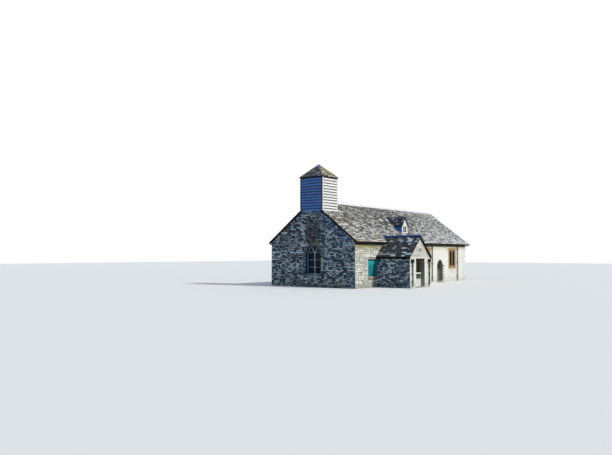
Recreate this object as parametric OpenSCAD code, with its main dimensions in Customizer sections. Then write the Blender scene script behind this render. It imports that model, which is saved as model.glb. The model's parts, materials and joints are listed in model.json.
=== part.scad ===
// Small rubble-stone chapel with a stone-slated roof, a boarded bell turret
// over its west gable, a roof dormer and a gabled south porch.
// X runs east along the nave, Y north and Z up. Places along the nave are
// measured from the outer face of the west wall. The origin is the middle
// of the nave, at the lowest ground that the walls reach.

/* [Nave] */
// Outside length of the nave
nave_length = 17000; // [16000:50:18500]
// Outside width of the nave
nave_width = 7300; // [7000:50:7700]
// Thickness of the nave walls
wall_thickness = 650; // [560:10:720]
// Height of the outer face of the side walls, up to the rafters
wall_head = 3050; // [2950:10:3300]
// Height of the paved floor above the foot of the walls
floor_height = 150; // [80:10:200]

/* [Roof] */
// Pitch of the nave roof, in degrees
roof_pitch = 37; // [34:0.5:41]
// Thickness of the stone slates and their battens
slate_depth = 60; // [45:5:80]
// Thickness of the rafters and their boarding
rafter_depth = 90; // [70:5:120]
// How far the slates hang past the side walls
eaves_overhang = 200; // [150:10:240]
// How far the slates hang past the west gable
west_verge = 80; // [40:10:120]
// How far the slates hang past the east gable
east_verge = 500; // [150:10:600]
// Width of each wing of the stone ridge pieces
ridge_wing = 210; // [160:10:260]
// Thickness of the stone ridge pieces
ridge_depth = 50; // [40:5:65]

/* [Tie beams] */
// Height of the ledge inside the side walls that the beams lie on
ledge_height = 2750; // [2650:10:2800]
// Width of that ledge
ledge_width = 250; // [160:10:300]
// Number of tie beams east of the turret
tie_count = 4; // [3:1:5]
// Width of the tie beams
tie_width = 200; // [150:10:250]
// Depth of the tie beams
tie_depth = 280; // [220:10:300]

/* [Bell turret] */
// Outside width of the turret, across the nave
turret_side = 1960; // [1800:10:2100]
// Outside length of the turret, along the nave
turret_length = 1780; // [1700:10:2100]
// Height of the top of the turret's boarded walls
turret_head = 7590; // [7200:10:7900]
// Height of each course of boarding
board_course = 190; // [150:5:230]
// How far each board's lower edge stands out
board_lap = 16; // [10:1:22]
// Thickness of the boarding behind the laps
board_back = 22; // [18:1:30]
// Width of the turret's corner boards
corner_board = 95; // [70:5:120]
// Side of the turret's oak posts
post_side = 140; // [110:10:170]
// Overhang of the turret roof
turret_eaves = 40; // [30:5:120]
// Pitch of the turret roof, in degrees
turret_pitch = 43; // [38:0.5:48]
// Thickness of the turret roof's edge
turret_edge = 50; // [40:5:70]
// Half the width of the lead cap on the turret roof
cap_half = 220; // [150:10:300]
// Thickness of the lead cap
cap_depth = 16; // [10:1:25]

/* [Dormer] */
// Place of the dormer's middle along the nave
dormer_place = 7880; // [7200:10:8600]
// Distance of the dormer's front from the middle of the nave
dormer_reach = 2880; // [2700:10:3000]
// Outside width of the dormer
dormer_width = 840; // [760:10:900]
// Height of the dormer's side walls above the slates at its front
dormer_height = 620; // [560:10:680]
// Pitch of the dormer roof, in degrees
dormer_pitch = 54; // [48:0.5:58]
// Thickness of the dormer's boarded walls
dormer_wall = 50; // [40:5:60]
// Thickness of the dormer's slates
dormer_slate = 45; // [35:5:60]
// Overhang of the dormer's slates
dormer_eaves = 75; // [50:5:100]
// Width of the dormer window
dormer_light_width = 560; // [480:10:600]
// Height of the boarding under the dormer window
dormer_apron = 70; // [50:10:120]
// Height of the board over the dormer window
dormer_lintel = 40; // [30:5:60]

/* [Porch] */
// Place of the porch's west face along the nave
porch_place = 2650; // [2600:10:2900]
// Outside width of the porch
porch_width = 2860; // [2700:10:3000]
// How far the porch stands out from the nave
porch_reach = 2560; // [2200:10:2800]
// Thickness of the porch walls
porch_wall = 420; // [350:10:480]
// Height of the outer face of the porch's side walls
porch_head = 2110; // [2060:10:2160]
// Pitch of the porch roof, in degrees
porch_pitch = 42.5; // [40:0.5:46]
// Thickness of the porch roof
porch_slate = 60; // [45:5:90]
// Overhang of the porch roof past its side walls
porch_eaves = 100; // [80:5:140]
// Overhang of the porch roof past its gable
porch_verge = 80; // [50:5:110]
// Place of the porch doorway's middle along the nave
porch_door_place = 4090; // [4040:10:4250]
// Width of the porch doorway
porch_door_width = 1220; // [1100:10:1300]
// Height of the porch doorway's head
porch_door_head = 1970; // [1900:10:1990]
// Depth of the porch lintel
lintel_depth = 120; // [90:10:150]
// Bearing of the porch lintel on each side
lintel_bearing = 330; // [150:10:360]
// Width of the small niche over the doorway
niche_width = 150; // [110:10:190]
// Height of the small niche over the doorway
niche_height = 250; // [200:10:300]
// Depth of the small niche over the doorway
niche_depth = 220; // [150:10:280]

// Height of the porch's paved floor above the foot of the walls
porch_floor_height = 60; // [30:10:120]

/* [Gable windows] */
// Width of the pointed gable windows
gable_light_width = 1310; // [1200:10:1400]
// Height of their sills
gable_light_sill = 860; // [760:10:960]
// Height where their arches spring
gable_light_spring = 2150; // [2050:10:2250]
// Rise of their arches
gable_light_rise = 740; // [680:10:800]
// How far the west window lies south of the middle
west_light_shift = 180; // [0:10:240]
// Depth of masonry in front of the window frames
gable_light_reveal = 170; // [120:10:220]
// Width of the timber frame that shows inside the stone
frame_show = 50; // [40:5:80]
// Thickness of the timber frames
frame_depth = 50; // [40:5:90]
// Width of the timber mullion and tracery bars
mullion_width = 44; // [36:2:70]
// Width of their glazing bars
glazing_bar = 20; // [16:1:30]
// Spacing of their glazing bars above the sill
bar_spacing = 505; // [450:5:560]

/* [Side windows] */
// Width of the stone-framed side windows
side_light_width = 1400; // [1300:10:1500]
// Height of the foot of their stone frames
side_light_foot = 1060; // [1000:10:1200]
// Height of their stone frames
side_light_height = 1720; // [1600:10:1760]
// Place of the east side window's middle along the nave
east_light_place = 14400; // [14300:10:14700]
// Place of the middle side window's middle along the nave
middle_light_place = 9850; // [9500:10:10400]
// Width of the stone jambs
jamb_width = 250; // [200:10:280]
// Width of the stone mullion
stone_mullion = 110; // [90:10:150]
// Depth of the stone head above the lights
stone_head = 180; // [140:10:220]
// Depth of the stone sill below the lights
stone_sill = 240; // [180:10:280]
// Rise of the arched heads of the lights
light_rise = 260; // [240:10:300]
// Thickness of the stone frames
stone_frame_depth = 130; // [100:10:250]
// Thickness of the glass sheets
glass_depth = 10; // [6:1:14]

/* [Doors] */
// Width of the porch's inner doorway
main_door_width = 1050; // [950:10:1150]
// Height where the inner doorway's arch springs
main_door_spring = 1550; // [1450:10:1600]
// Rise of the inner doorway's arch
main_door_rise = 620; // [560:10:680]
// Place of the priest's door along the nave
priest_door_place = 12165; // [12000:5:12300]
// Width of the priest's doorway
priest_door_width = 870; // [800:10:900]
// Height where the priest's doorway's arch springs
priest_door_spring = 1200; // [1100:10:1300]
// Rise of the priest's doorway's arch
priest_door_rise = 570; // [500:10:640]
// Distance from the low side door's middle to the porch
side_door_gap = 625; // [610:5:750]
// Width of the low side doorway
side_door_width = 950; // [850:10:960]
// Height of the low side door's sill
side_door_sill = 740; // [650:10:800]
// Height of the low side door's head
side_door_head = 1880; // [1780:10:1950]
// Depth of the low side door's stone sill
sill_stone = 150; // [120:10:180]
// How far that stone stands out from the wall
sill_nose = 40; // [20:5:60]
// Depth of masonry in front of the pointed doors
door_reveal = 250; // [200:10:300]
// Depth of masonry in front of the low side door
side_door_reveal = 90; // [60:10:140]
// How far each door laps behind its doorway
door_lap = 35; // [25:5:45]
// How much wider the doorway is behind the door, each side
door_rebate = 90; // [80:5:110]
// Height of the wall's opening over the arch of a pointed door
door_crown = 90; // [80:5:160]
// Thickness of the door leaves
leaf_depth = 45; // [35:5:60]
// Gap between a leaf and the stone it shuts against
leaf_gap = 6; // [5:1:8]
// Gap under the leaves
foot_gap = 8; // [6:1:12]

/* [Porch gate] */
// Distance of the gate from the porch's front face
gate_place = 260; // [200:10:300]
// Height of the gate's top
gate_head = 1010; // [950:10:1150]
// Thickness of the gate's rails and stiles
gate_depth = 45; // [38:1:55]
// Width of the gate's rails and stiles
gate_rail = 95; // [75:5:120]
// Height of the gate's boarded lower panel
gate_panel = 360; // [300:10:450]
// Thickness of the gate's boards and bars
gate_board = 20; // [15:1:25]
// Number of upright bars in the gate's upper half
gate_bars = 7; // [5:1:9]
// Gap between the gate's free side and the wall
gate_gap = 12; // [10:1:20]

/* [Hinges] */
// Radius of the iron pins
pin_radius = 9; // [7:0.5:11]
// Clearance around each pin
pin_clearance = 0.3; // [0.2:0.05:0.5]
// Thickness of the metal round each eye
eye_wall = 7; // [5:0.5:9]
// Height of the eyes and straps
strap_width = 42; // [34:2:50]
// Thickness of the straps
strap_depth = 8; // [6:1:10]
// Gap between the eye and the wall
eye_gap = 14; // [8:1:18]
// Thickness of the arm under each pin
arm_depth = 16; // [12:1:20]

/* [Rainwater goods] */
// Outside radius of the half-round gutters
gutter_radius = 60; // [50:2:66]
// Thickness of the cast gutters
gutter_wall = 6; // [5:1:8]
// Distance from a wall to the middle of its gutter
gutter_place = 100; // [95:1:115]
// Gap between a gutter's rim and the slates' lower edge
gutter_drop = 22; // [15:1:35]
// Spacing of the gutter brackets
bracket_spacing = 1100; // [800:50:1400]
// Width of the gutter brackets
bracket_width = 30; // [24:2:40]
// Radius of the downpipes
pipe_radius = 38; // [32:1:45]
// Thickness of the cast pipes
pipe_wall = 5; // [4:1:6]
// Place of the downpipe beside the middle window
middle_pipe_place = 10680; // [10670:5:10850]
// Place of the downpipe beside the east window
east_pipe_place = 15270; // [15240:5:15400]
// Distance of the porch's downpipes from its corners
porch_pipe_inset = 260; // [200:10:320]
// Width of the porch's rainwater heads
hopper_width = 240; // [200:10:280]
// Height of the porch's rainwater heads
hopper_height = 230; // [180:10:280]

/* [Hidden] */
$fn = 48;
arch_facets = 144;

// A cut reaches this far past the solid that it goes through
past = 50;
// Thin bed between pieces that meet on a slope
bed = 0.1;
half_width = nave_width / 2;
inner_half = half_width - wall_thickness;
rise = tan(roof_pitch);
slate_rise = slate_depth / cos(roof_pitch);
rafter_rise = rafter_depth / cos(roof_pitch);
// Distance of the ledge's outer edge from the middle
ledge_edge = inner_half + ledge_width;
tie_head = ledge_height + tie_depth;

// Height of the rafters' underside, and of the slates' top, at a distance from the middle
function under_roof(y) = wall_head + (half_width - abs(y)) * rise;
function over_roof(y) = under_roof(y) + rafter_rise + slate_rise;
// Place in X of a distance along the nave from its west face
function east_of(x) = x - nave_length / 2;

turret_half = turret_side / 2;
turret_middle = turret_length / 2;
turret_foot = over_roof(turret_half);
turret_reach = turret_half + turret_eaves;
turret_rise = tan(turret_pitch);
// The slopes to the west and the east are steeper: all four meet at one point
turret_steep = turret_reach * turret_rise / (turret_middle + turret_eaves);
// Middle of the turret's frame: the boarding stands in front of the posts
boarding_depth = board_back + board_lap;
frame_half = turret_half - boarding_depth;

dormer_rise = tan(dormer_pitch);
dormer_half = dormer_width / 2;
dormer_top = dormer_slate / cos(dormer_pitch);
dormer_head = over_roof(dormer_reach) + dormer_height;
dormer_light_height = dormer_height - dormer_apron - dormer_lintel;
dormer_light_foot = dormer_head - dormer_lintel - dormer_light_height;

porch_rise = tan(porch_pitch);
porch_middle = porch_place + porch_width / 2;
porch_top = porch_slate / cos(porch_pitch);
porch_front = half_width + porch_reach;
function under_porch(x) = porch_head + (porch_width / 2 - abs(x)) * porch_rise;

eaves_tip = half_width + eaves_overhang;
eaves_foot = over_roof(eaves_tip) - slate_rise;
gutter_rim = eaves_foot - gutter_drop;
porch_eaves_foot = under_porch(porch_width / 2 + porch_eaves);
porch_gutter_rim = porch_eaves_foot - gutter_drop / 2;

frame_lap = frame_show + 15;
eye_radius = pin_radius + pin_clearance + eye_wall;
// How far a hinge pin stands from the side of its leaf
pin_offset = eye_radius + 3;
side_door_place = porch_place - side_door_gap;

// 2D drawings in Y and Z drawn out along the nave, from x0 to x1
module along_nave(x0, x1)
    translate([east_of(x0), 0, 0])
        rotate([90, 0, 90])
            linear_extrude(x1 - x0) children();

// 2D drawings in X and Z drawn out northwards, from y0 to y1
module across_nave(y0, y1)
    translate([0, y1, 0])
        rotate([90, 0, 0])
            linear_extrude(y1 - y0) children();

// A box given by its two ends along the nave, across it and in height
module block(x0, x1, y0, y1, z0, z1)
    translate([east_of(x0), y0, z0])
        cube([x1 - x0, y1 - y0, z1 - z0]);

// A two-centred pointed arch on upright sides, standing on the line y = 0
module pointed(width, spring, rise) {
    half = width / 2;
    radius = round((rise * rise + half * half) / width);
    translate([-half, 0]) square([width, spring]);
    translate([0, spring])
        intersection() {
            translate([radius - half, 0]) circle(radius, $fn = arch_facets);
            translate([half - radius, 0]) circle(radius, $fn = arch_facets);
            translate([-half, -spring / 2]) square([width, spring / 2 + rise + 1]);
        }
}

// Everything under the top of the nave roof, south of the ridge and north of the south wall's face
module under_nave_slates(x0, x1)
    along_nave(x0, x1)
        polygon([
            [-half_width, -past], [past, -past], [past, over_roof(0) + bed],
            [0, over_roof(0) + bed], [-half_width, over_roof(half_width) + bed]
        ]);

// Side wall of the nave in section, with the ledge for the tie beams inside
module side_wall_section()
    polygon([
        [-half_width, 0], [-inner_half, 0], [-inner_half, ledge_height],
        [-ledge_edge, ledge_height], [-ledge_edge, under_roof(ledge_edge)],
        [-half_width, wall_head]
    ]);

// Through hole for a stone window frame in the south wall
module side_light_hole(place)
    block(place - side_light_width / 2, place + side_light_width / 2,
        -half_width - past, -inner_half + past,
        side_light_foot, side_light_foot + side_light_height);

// Doorway with a pointed head in front, and square and wider behind the leaf
module main_doorway() {
    translate([east_of(porch_middle), 0, floor_height])
        across_nave(-half_width - past, -half_width + door_reveal + 1)
            pointed(main_door_width, main_door_spring - floor_height, main_door_rise);
    block(porch_middle - main_door_width / 2 - door_rebate,
        porch_middle + main_door_width / 2 + door_rebate,
        -half_width + door_reveal, -inner_half + past,
        floor_height, main_door_spring + main_door_rise + door_crown);
}

// Part of the south wall between two places
module south_wall_part(x0, x1)
    along_nave(x0, x1) side_wall_section();

// Edges of the gaps in the wall where the two opening doors stand
side_west = side_door_place - side_door_width / 2 - door_rebate;
side_east = side_door_place + side_door_width / 2 + door_rebate;
side_crown = side_door_head + door_rebate;
priest_west = priest_door_place - priest_door_width / 2 - door_rebate;
priest_east = priest_door_place + priest_door_width / 2 + door_rebate;
priest_crown = priest_door_spring + priest_door_rise + door_crown;

module south_wall_west()
    color("wheat") south_wall_part(wall_thickness, side_west);

module south_wall_middle()
    color("wheat")
        difference() {
            south_wall_part(side_east, priest_west);
            main_doorway();
            side_light_hole(middle_light_place);
        }

module south_wall_east()
    color("wheat")
        difference() {
            south_wall_part(priest_east, nave_length - wall_thickness);
            side_light_hole(east_light_place);
        }

// The masonry over the two doorways
module doorway_heads()
    color("wheat") {
        intersection() {
            south_wall_part(side_west, side_east);
            block(0, nave_length, -nave_width, 0, side_crown, 2 * wall_head);
        }
        intersection() {
            south_wall_part(priest_west, priest_east);
            block(0, nave_length, -nave_width, 0, priest_crown, 2 * wall_head);
        }
    }

// Dressed stone with a pointed doorway through it
module priest_door_surround()
    color("burlywood")
        translate([east_of(priest_door_place), 0, 0])
            across_nave(-half_width, -half_width + door_reveal)
                difference() {
                    translate([priest_west - priest_door_place, floor_height])
                        square([priest_east - priest_west, priest_crown - floor_height]);
                    translate([0, -past])
                        pointed(priest_door_width, priest_door_spring + past,
                            priest_door_rise);
                }

// Jambs and head stone of the low side door
module side_door_surround()
    color("burlywood")
        translate([east_of(side_door_place), 0, 0])
            across_nave(-half_width, -half_width + side_door_reveal)
                difference() {
                    translate([side_west - side_door_place, side_door_sill])
                        square([side_east - side_west, side_crown - side_door_sill]);
                    translate([-side_door_width / 2, -past])
                        square([side_door_width, side_door_head + past]);
                }

// The masonry under the two doorways, with the low side door's stone sill
module door_sills()
    color("tan") {
        block(priest_west, priest_east, -half_width, -inner_half, 0, floor_height);
        block(side_west, side_east, -half_width, -inner_half, 0, side_door_sill);
        block(side_west + door_rebate / 2, side_east - door_rebate / 2,
            -half_width - sill_nose, -half_width + 1,
            side_door_sill - sill_stone, side_door_sill);
    }

module north_wall()
    color("tan")
        mirror([0, 1, 0])
            difference() {
                along_nave(wall_thickness, nave_length - wall_thickness) side_wall_section();
                side_light_hole(middle_light_place);
                side_light_hole(east_light_place);
            }

// Gable wall in section across the nave
module gable_section()
    polygon([
        [-half_width, 0], [half_width, 0], [half_width, wall_head],
        [0, under_roof(0)], [-half_width, wall_head]
    ]);

// Drawing of a gable window's opening, grown by a margin
module gable_light_shape(grow)
    translate([0, gable_light_sill - grow])
        pointed(gable_light_width + 2 * grow, gable_light_spring - gable_light_sill + grow,
            gable_light_rise + grow);

module west_wall()
    color("slategray")
        difference() {
            union() {
                along_nave(0, wall_thickness) gable_section();
                // The head of the wall that carries the turret's west side
                block(0, wall_thickness, -turret_half, turret_half, wall_head, turret_foot);
            }
            // Nothing of the gable stands above the turret's foot
            block(-past, wall_thickness + past, -turret_half, turret_half,
                turret_foot, 2 * turret_foot);
            along_nave(-past, gable_light_reveal + 1)
                translate([-west_light_shift, 0]) gable_light_shape(0);
            along_nave(gable_light_reveal, wall_thickness + past)
                translate([-west_light_shift, 0]) gable_light_shape(frame_lap);
        }

module east_wall()
    color("tan")
        difference() {
            along_nave(nave_length - wall_thickness, nave_length) gable_section();
            along_nave(nave_length - gable_light_reveal - 1, nave_length + past)
                gable_light_shape(0);
            along_nave(nave_length - wall_thickness - past, nave_length - gable_light_reveal)
                gable_light_shape(frame_lap);
        }

module nave_floor()
    color("gray")
        block(wall_thickness, nave_length - wall_thickness, -inner_half, inner_half,
            0, floor_height);

// Places of the tie beams: the first carries the turret's east posts
function tie_place(i) =
    i == 0 ? turret_length - boarding_depth - post_side / 2
    : turret_length + (nave_length - wall_thickness - turret_length) * i / (tie_count + 1);

module tie_beams()
    color("saddlebrown")
        for (i = [0:tie_count])
            block(tie_place(i) - tie_width / 2, tie_place(i) + tie_width / 2,
                -ledge_edge, ledge_edge, ledge_height, tie_head);

// One slope of the nave roof: the slates, and the rafters between the outer faces of the walls
module slates_section()
    polygon([
        [0, over_roof(0) - slate_rise], [0, over_roof(0)],
        [-eaves_tip, over_roof(eaves_tip)], [-eaves_tip, eaves_foot]
    ]);

module rafters_section()
    polygon([
        [0, under_roof(0)], [0, over_roof(0) - slate_rise + 1],
        [-half_width, over_roof(half_width) - slate_rise + 1], [-half_width, wall_head]
    ]);

module nave_slope()
    difference() {
        union() {
            along_nave(-west_verge, nave_length + east_verge) slates_section();
            along_nave(0, nave_length) rafters_section();
        }
        block(-2 * west_verge, turret_length, -turret_half, past, wall_head, 2 * turret_foot);
    }

// Half the length of eaves that the porch roof takes away
porch_notch = (under_porch(0) + porch_top - eaves_foot) / porch_rise;
// Opening in the slope behind the dormer's window
dormer_shaft = dormer_half - 2 * dormer_wall;

module nave_roof_south()
    color("darkgray")
        difference() {
            nave_slope();
            block(porch_middle - porch_notch, porch_middle + porch_notch,
                -eaves_tip - past, -half_width, wall_head - slate_rise * 4, turret_foot);
            block(dormer_place - dormer_shaft, dormer_place + dormer_shaft,
                -dormer_reach + 2 * dormer_wall, -dormer_reach + dormer_wall + dormer_width,
                wall_head, turret_foot);
        }

module nave_roof_north()
    color("gray")
        mirror([0, 1, 0]) nave_slope();

// Ridge pieces: an upside-down V that lies on both slopes
module ridge_section(half_wing, depth, slope)
    polygon([
        [0, 0], [half_wing, -half_wing * tan(slope)],
        [half_wing, -half_wing * tan(slope) + depth / cos(slope)], [0, depth / cos(slope)],
        [-half_wing, -half_wing * tan(slope) + depth / cos(slope)],
        [-half_wing, -half_wing * tan(slope)]
    ]);

module nave_ridge()
    color("lightgray")
        along_nave(turret_length, nave_length + east_verge)
            translate([0, over_roof(0) + bed])
                ridge_section(ridge_wing * cos(roof_pitch), ridge_depth, roof_pitch);

// First drawing seen from the south and second seen from the west, kept where both
// have it, about the middle of the turret
module both_ways(half)
    translate([east_of(turret_middle), 0, 0])
        intersection() {
            translate([0, half, 0]) rotate([90, 0, 0]) linear_extrude(2 * half) children(0);
            translate([-half, 0, 0]) rotate([90, 0, 90]) linear_extrude(2 * half) children(1);
        }

// Turret frame: posts at the corners, sills in the roof's gap and plates under the roof
module turret_frame() {
    near = frame_half - post_side;
    west = boarding_depth;
    east = turret_length - west;
    color("peru") {
        for (side = [-1, 1]) {
            low = side > 0 ? near : -frame_half;
            block(west, west + post_side, low, low + post_side, turret_foot, turret_head);
            block(east - post_side, east, low, low + post_side, tie_head, turret_head);
            block(west, east, low, low + post_side, turret_head - post_side, turret_head);
            block(wall_thickness, east, low, low + post_side,
                turret_foot - post_side, turret_foot);
        }
        block(east - post_side, east, -near - 1, near + 1, turret_foot - post_side, turret_foot);
    }
}

// Lapped boards in section: each course stands out at its foot
board_count = floor((turret_head - turret_foot) / board_course);
module boards_section(half) {
    flat = half - board_lap;
    height = turret_head - turret_foot;
    course = height / board_count;
    right = [for (i = [0:board_count - 1]) each [
        [half, turret_foot + i * course], [flat, turret_foot + (i + 1) * course]
    ]];
    left = [for (i = [len(right) - 1:-1:0]) [-right[i][0], right[i][1]]];
    polygon(concat(right, left));
}

module turret_boarding()
    color("ghostwhite")
        difference() {
            both_ways(turret_side) {
                boards_section(turret_middle);
                boards_section(turret_half);
            }
            block(boarding_depth, turret_length - boarding_depth, -frame_half, frame_half,
                turret_foot - past, turret_head + past);
            turret_corners(0);
        }

// Upright boards that cover the ends of the lapped ones
module turret_corners(inset)
    for (x = [0, turret_length - corner_board], y = [-turret_half, turret_half - corner_board])
        block(x + inset, x + corner_board - inset, y + inset, y + corner_board - inset,
            turret_foot - past * (1 - sign(inset)), turret_head + past * (1 - sign(inset)));

module turret_corner_boards()
    color("white")
        difference() {
            for (x = [0, turret_length - corner_board],
                y = [-turret_half, turret_half - corner_board])
                block(x, x + corner_board, y, y + corner_board, turret_foot, turret_head);
            block(boarding_depth, turret_length - boarding_depth, -frame_half, frame_half,
                turret_foot - past, turret_head + past);
        }

// Pyramid in section, with an upright edge under its slope
module pyramid_section(half, edge, slope)
    polygon([
        [-half, 0], [half, 0], [half, edge], [0, edge + half * slope], [-half, edge]
    ]);

// The turret's pyramid, brought in from its eaves by some distance, within a square
module turret_pyramid(within, inset, edge)
    both_ways(within) {
        pyramid_section(turret_middle + turret_eaves - inset, edge, turret_steep);
        pyramid_section(turret_reach - inset, edge, turret_rise);
    }

module turret_roof()
    color("dimgray")
        translate([0, 0, turret_head])
            difference() {
                turret_pyramid(2 * turret_side, 0, turret_edge);
                translate([0, 0, -1])
                    turret_pyramid(2 * turret_side,
                        turret_eaves + boarding_depth + post_side, turret_edge);
            }

// Lead cap, folded over the point of the turret roof
module turret_cap() {
    skin = cap_depth / cos(turret_pitch);
    color("steelblue")
        translate([0, 0, turret_head])
            difference() {
                turret_pyramid(cap_half, 0, turret_edge + skin);
                turret_pyramid(2 * turret_side, 0, turret_edge);
            }
}

module dormer_gable_section(grow)
    polygon([
        [-dormer_half - grow, 0], [dormer_half + grow, 0],
        [dormer_half + grow, dormer_head - grow * dormer_rise],
        [0, dormer_head + dormer_half * dormer_rise],
        [-dormer_half - grow, dormer_head - grow * dormer_rise]
    ]);

module at_dormer() translate([east_of(dormer_place), 0, 0]) children();

module dormer_walls()
    color("white")
        difference() {
            union() {
                at_dormer()
                    across_nave(-dormer_reach, -dormer_reach + dormer_wall)
                        difference() {
                            dormer_gable_section(0);
                            translate([-dormer_light_width / 2, dormer_light_foot])
                                square([dormer_light_width, dormer_light_height]);
                        }
                for (x = [-dormer_half, dormer_half - dormer_wall])
                    at_dormer()
                        translate([x, -dormer_reach, 0])
                            cube([dormer_wall, dormer_reach, dormer_head]);
            }
            under_nave_slates(0, nave_length);
        }

module dormer_roof()
    color("darkslategray")
        difference() {
            at_dormer()
                across_nave(-dormer_reach - dormer_eaves, 0)
                    difference() {
                        translate([0, dormer_top]) dormer_gable_section(dormer_eaves);
                        translate([0, bed]) dormer_gable_section(dormer_eaves);
                        translate([-dormer_width, -past])
                            square([2 * dormer_width, dormer_head - dormer_eaves * dormer_rise
                                + past]);
                    }
            under_nave_slates(0, nave_length);
        }

// Timber casement of two lights, with its glazing bars
module dormer_window()
    color("whitesmoke")
        at_dormer()
            across_nave(-dormer_reach, -dormer_reach + dormer_wall - glass_depth)
                translate([-dormer_light_width / 2, dormer_light_foot])
                    difference() {
                        square([dormer_light_width, dormer_light_height]);
                        for (i = [0, 1], j = [0, 1])
                            casement_pane(i, j);
                    }

casement_frame = 45;
casement_bar = 22;
module casement_pane(i, j) {
    pane_width = (dormer_light_width - 3 * casement_frame) / 2;
    pane_height = (dormer_light_height - 2 * casement_frame - casement_bar) / 2;
    translate([casement_frame + i * (pane_width + casement_frame),
        casement_frame + j * (pane_height + casement_bar)])
        square([pane_width, pane_height]);
}

module porch_floor()
    color("gray") {
        block(porch_place + porch_wall, porch_place + porch_width - porch_wall,
            -porch_front + porch_wall, -half_width, 0, porch_floor_height);
        block(porch_door_place - porch_door_width / 2, porch_door_place + porch_door_width / 2,
            -porch_front, -porch_front + porch_wall + 1, 0, porch_floor_height);
    }

module porch_section()
    polygon([
        [-porch_width / 2, 0], [porch_width / 2, 0], [porch_width / 2, porch_head],
        [0, under_porch(0)], [-porch_width / 2, porch_head]
    ]);

module at_porch() translate([east_of(porch_middle), 0, 0]) children();

// Side walls, with the pieces of the front wall beside the doorway
module porch_walls()
    color("wheat") {
        at_porch()
            across_nave(-porch_front + porch_wall, -half_width)
                difference() {
                    porch_section();
                    translate([-porch_width / 2 + porch_wall, -past])
                        square([porch_width - 2 * porch_wall, 2 * under_porch(0)]);
                }
        block(porch_place, porch_door_place - porch_door_width / 2,
            -porch_front, -porch_front + porch_wall, 0, porch_door_head);
        block(porch_door_place + porch_door_width / 2, porch_place + porch_width,
            -porch_front, -porch_front + porch_wall, 0, porch_door_head);
    }

lintel_half = porch_door_width / 2 + lintel_bearing;

module porch_gable()
    color("wheat")
        difference() {
            at_porch() across_nave(-porch_front, -porch_front + porch_wall) porch_section();
            block(0, nave_length, -porch_front - past, -porch_front + porch_wall + past,
                -past, porch_door_head);
            block(porch_door_place - lintel_half, porch_door_place + lintel_half,
                -porch_front - past, -porch_front + porch_wall + past,
                porch_door_head - 1, porch_door_head + lintel_depth);
            block(porch_middle - niche_width / 2, porch_middle + niche_width / 2,
                -porch_front - past, -porch_front + niche_depth,
                niche_foot, niche_foot + niche_height);
        }

niche_foot = porch_door_head + 450;

module porch_lintel()
    color("white")
        block(porch_door_place - lintel_half, porch_door_place + lintel_half,
            -porch_front, -porch_front + porch_wall,
            porch_door_head, porch_door_head + lintel_depth);

module porch_slope_section() {
    tip = porch_width / 2 + porch_eaves;
    polygon([
        [0, under_porch(0)], [0, under_porch(0) + porch_top],
        [-tip, under_porch(tip) + porch_top], [-tip, under_porch(tip)]
    ]);
}

module porch_slope(side)
    difference() {
        at_porch()
            across_nave(-porch_front - porch_verge, 0)
                scale([side, 1]) porch_slope_section();
        under_nave_slates(0, nave_length);
    }

module porch_roof_west() color("slategray") porch_slope(1);
module porch_roof_east() color("darkgray") porch_slope(-1);

module porch_ridge()
    color("gray")
        difference() {
            at_porch()
                across_nave(-porch_front - porch_verge, 0)
                    translate([0, under_porch(0) + porch_top + bed])
                        ridge_section(ridge_wing * cos(porch_pitch), ridge_depth, porch_pitch);
            under_nave_slates(0, nave_length);
        }

// Timber frame of two lights: the mullion forks at the springing into two curved
// bars that run up to the arch
module tracery_shape() {
    half = gable_light_width / 2;
    bar = mullion_width / 2;
    radius = round((gable_light_rise * gable_light_rise + half * half) / gable_light_width);
    difference() {
        gable_light_shape(frame_lap - 5);
        gable_light_shape(-frame_show);
    }
    intersection() {
        gable_light_shape(0);
        union() {
            translate([-bar, 0]) square([mullion_width, gable_light_spring + bar]);
            for (side = [-1, 1])
                intersection() {
                    translate([side * radius, gable_light_spring])
                        difference() {
                            circle(radius + bar, $fn = arch_facets);
                            circle(radius - bar, $fn = arch_facets);
                        }
                    translate([-half, gable_light_spring]) square(gable_light_width);
                }
            for (i = [1:3])
                translate([-half, gable_light_sill + bar_spacing * i - glazing_bar / 2])
                    square([gable_light_width, glazing_bar]);
        }
    }
}

module gable_window_frames()
    color("lightsteelblue") {
        along_nave(gable_light_reveal, gable_light_reveal + frame_depth)
            translate([-west_light_shift, 0]) tracery_shape();
        along_nave(nave_length - gable_light_reveal - frame_depth,
            nave_length - gable_light_reveal)
            tracery_shape();
    }

// Stone frame with two arched lights, standing in the south wall
module stone_frame(place) {
    light = (side_light_width - 2 * jamb_width - stone_mullion) / 2;
    foot = side_light_foot + stone_sill;
    head = side_light_foot + side_light_height - stone_head;
    translate([east_of(place), 0, 0])
        across_nave(-half_width, -half_width + stone_frame_depth)
            difference() {
                translate([-side_light_width / 2, side_light_foot])
                    square([side_light_width, side_light_height]);
                for (side = [-1, 1])
                    translate([side * (light + stone_mullion) / 2, foot])
                        pointed(light, head - light_rise - foot, light_rise);
            }
}

module side_window_frames()
    color("peru")
        for (place = [middle_light_place, east_light_place]) {
            stone_frame(place);
            mirror([0, 1, 0]) stone_frame(place);
        }

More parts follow.
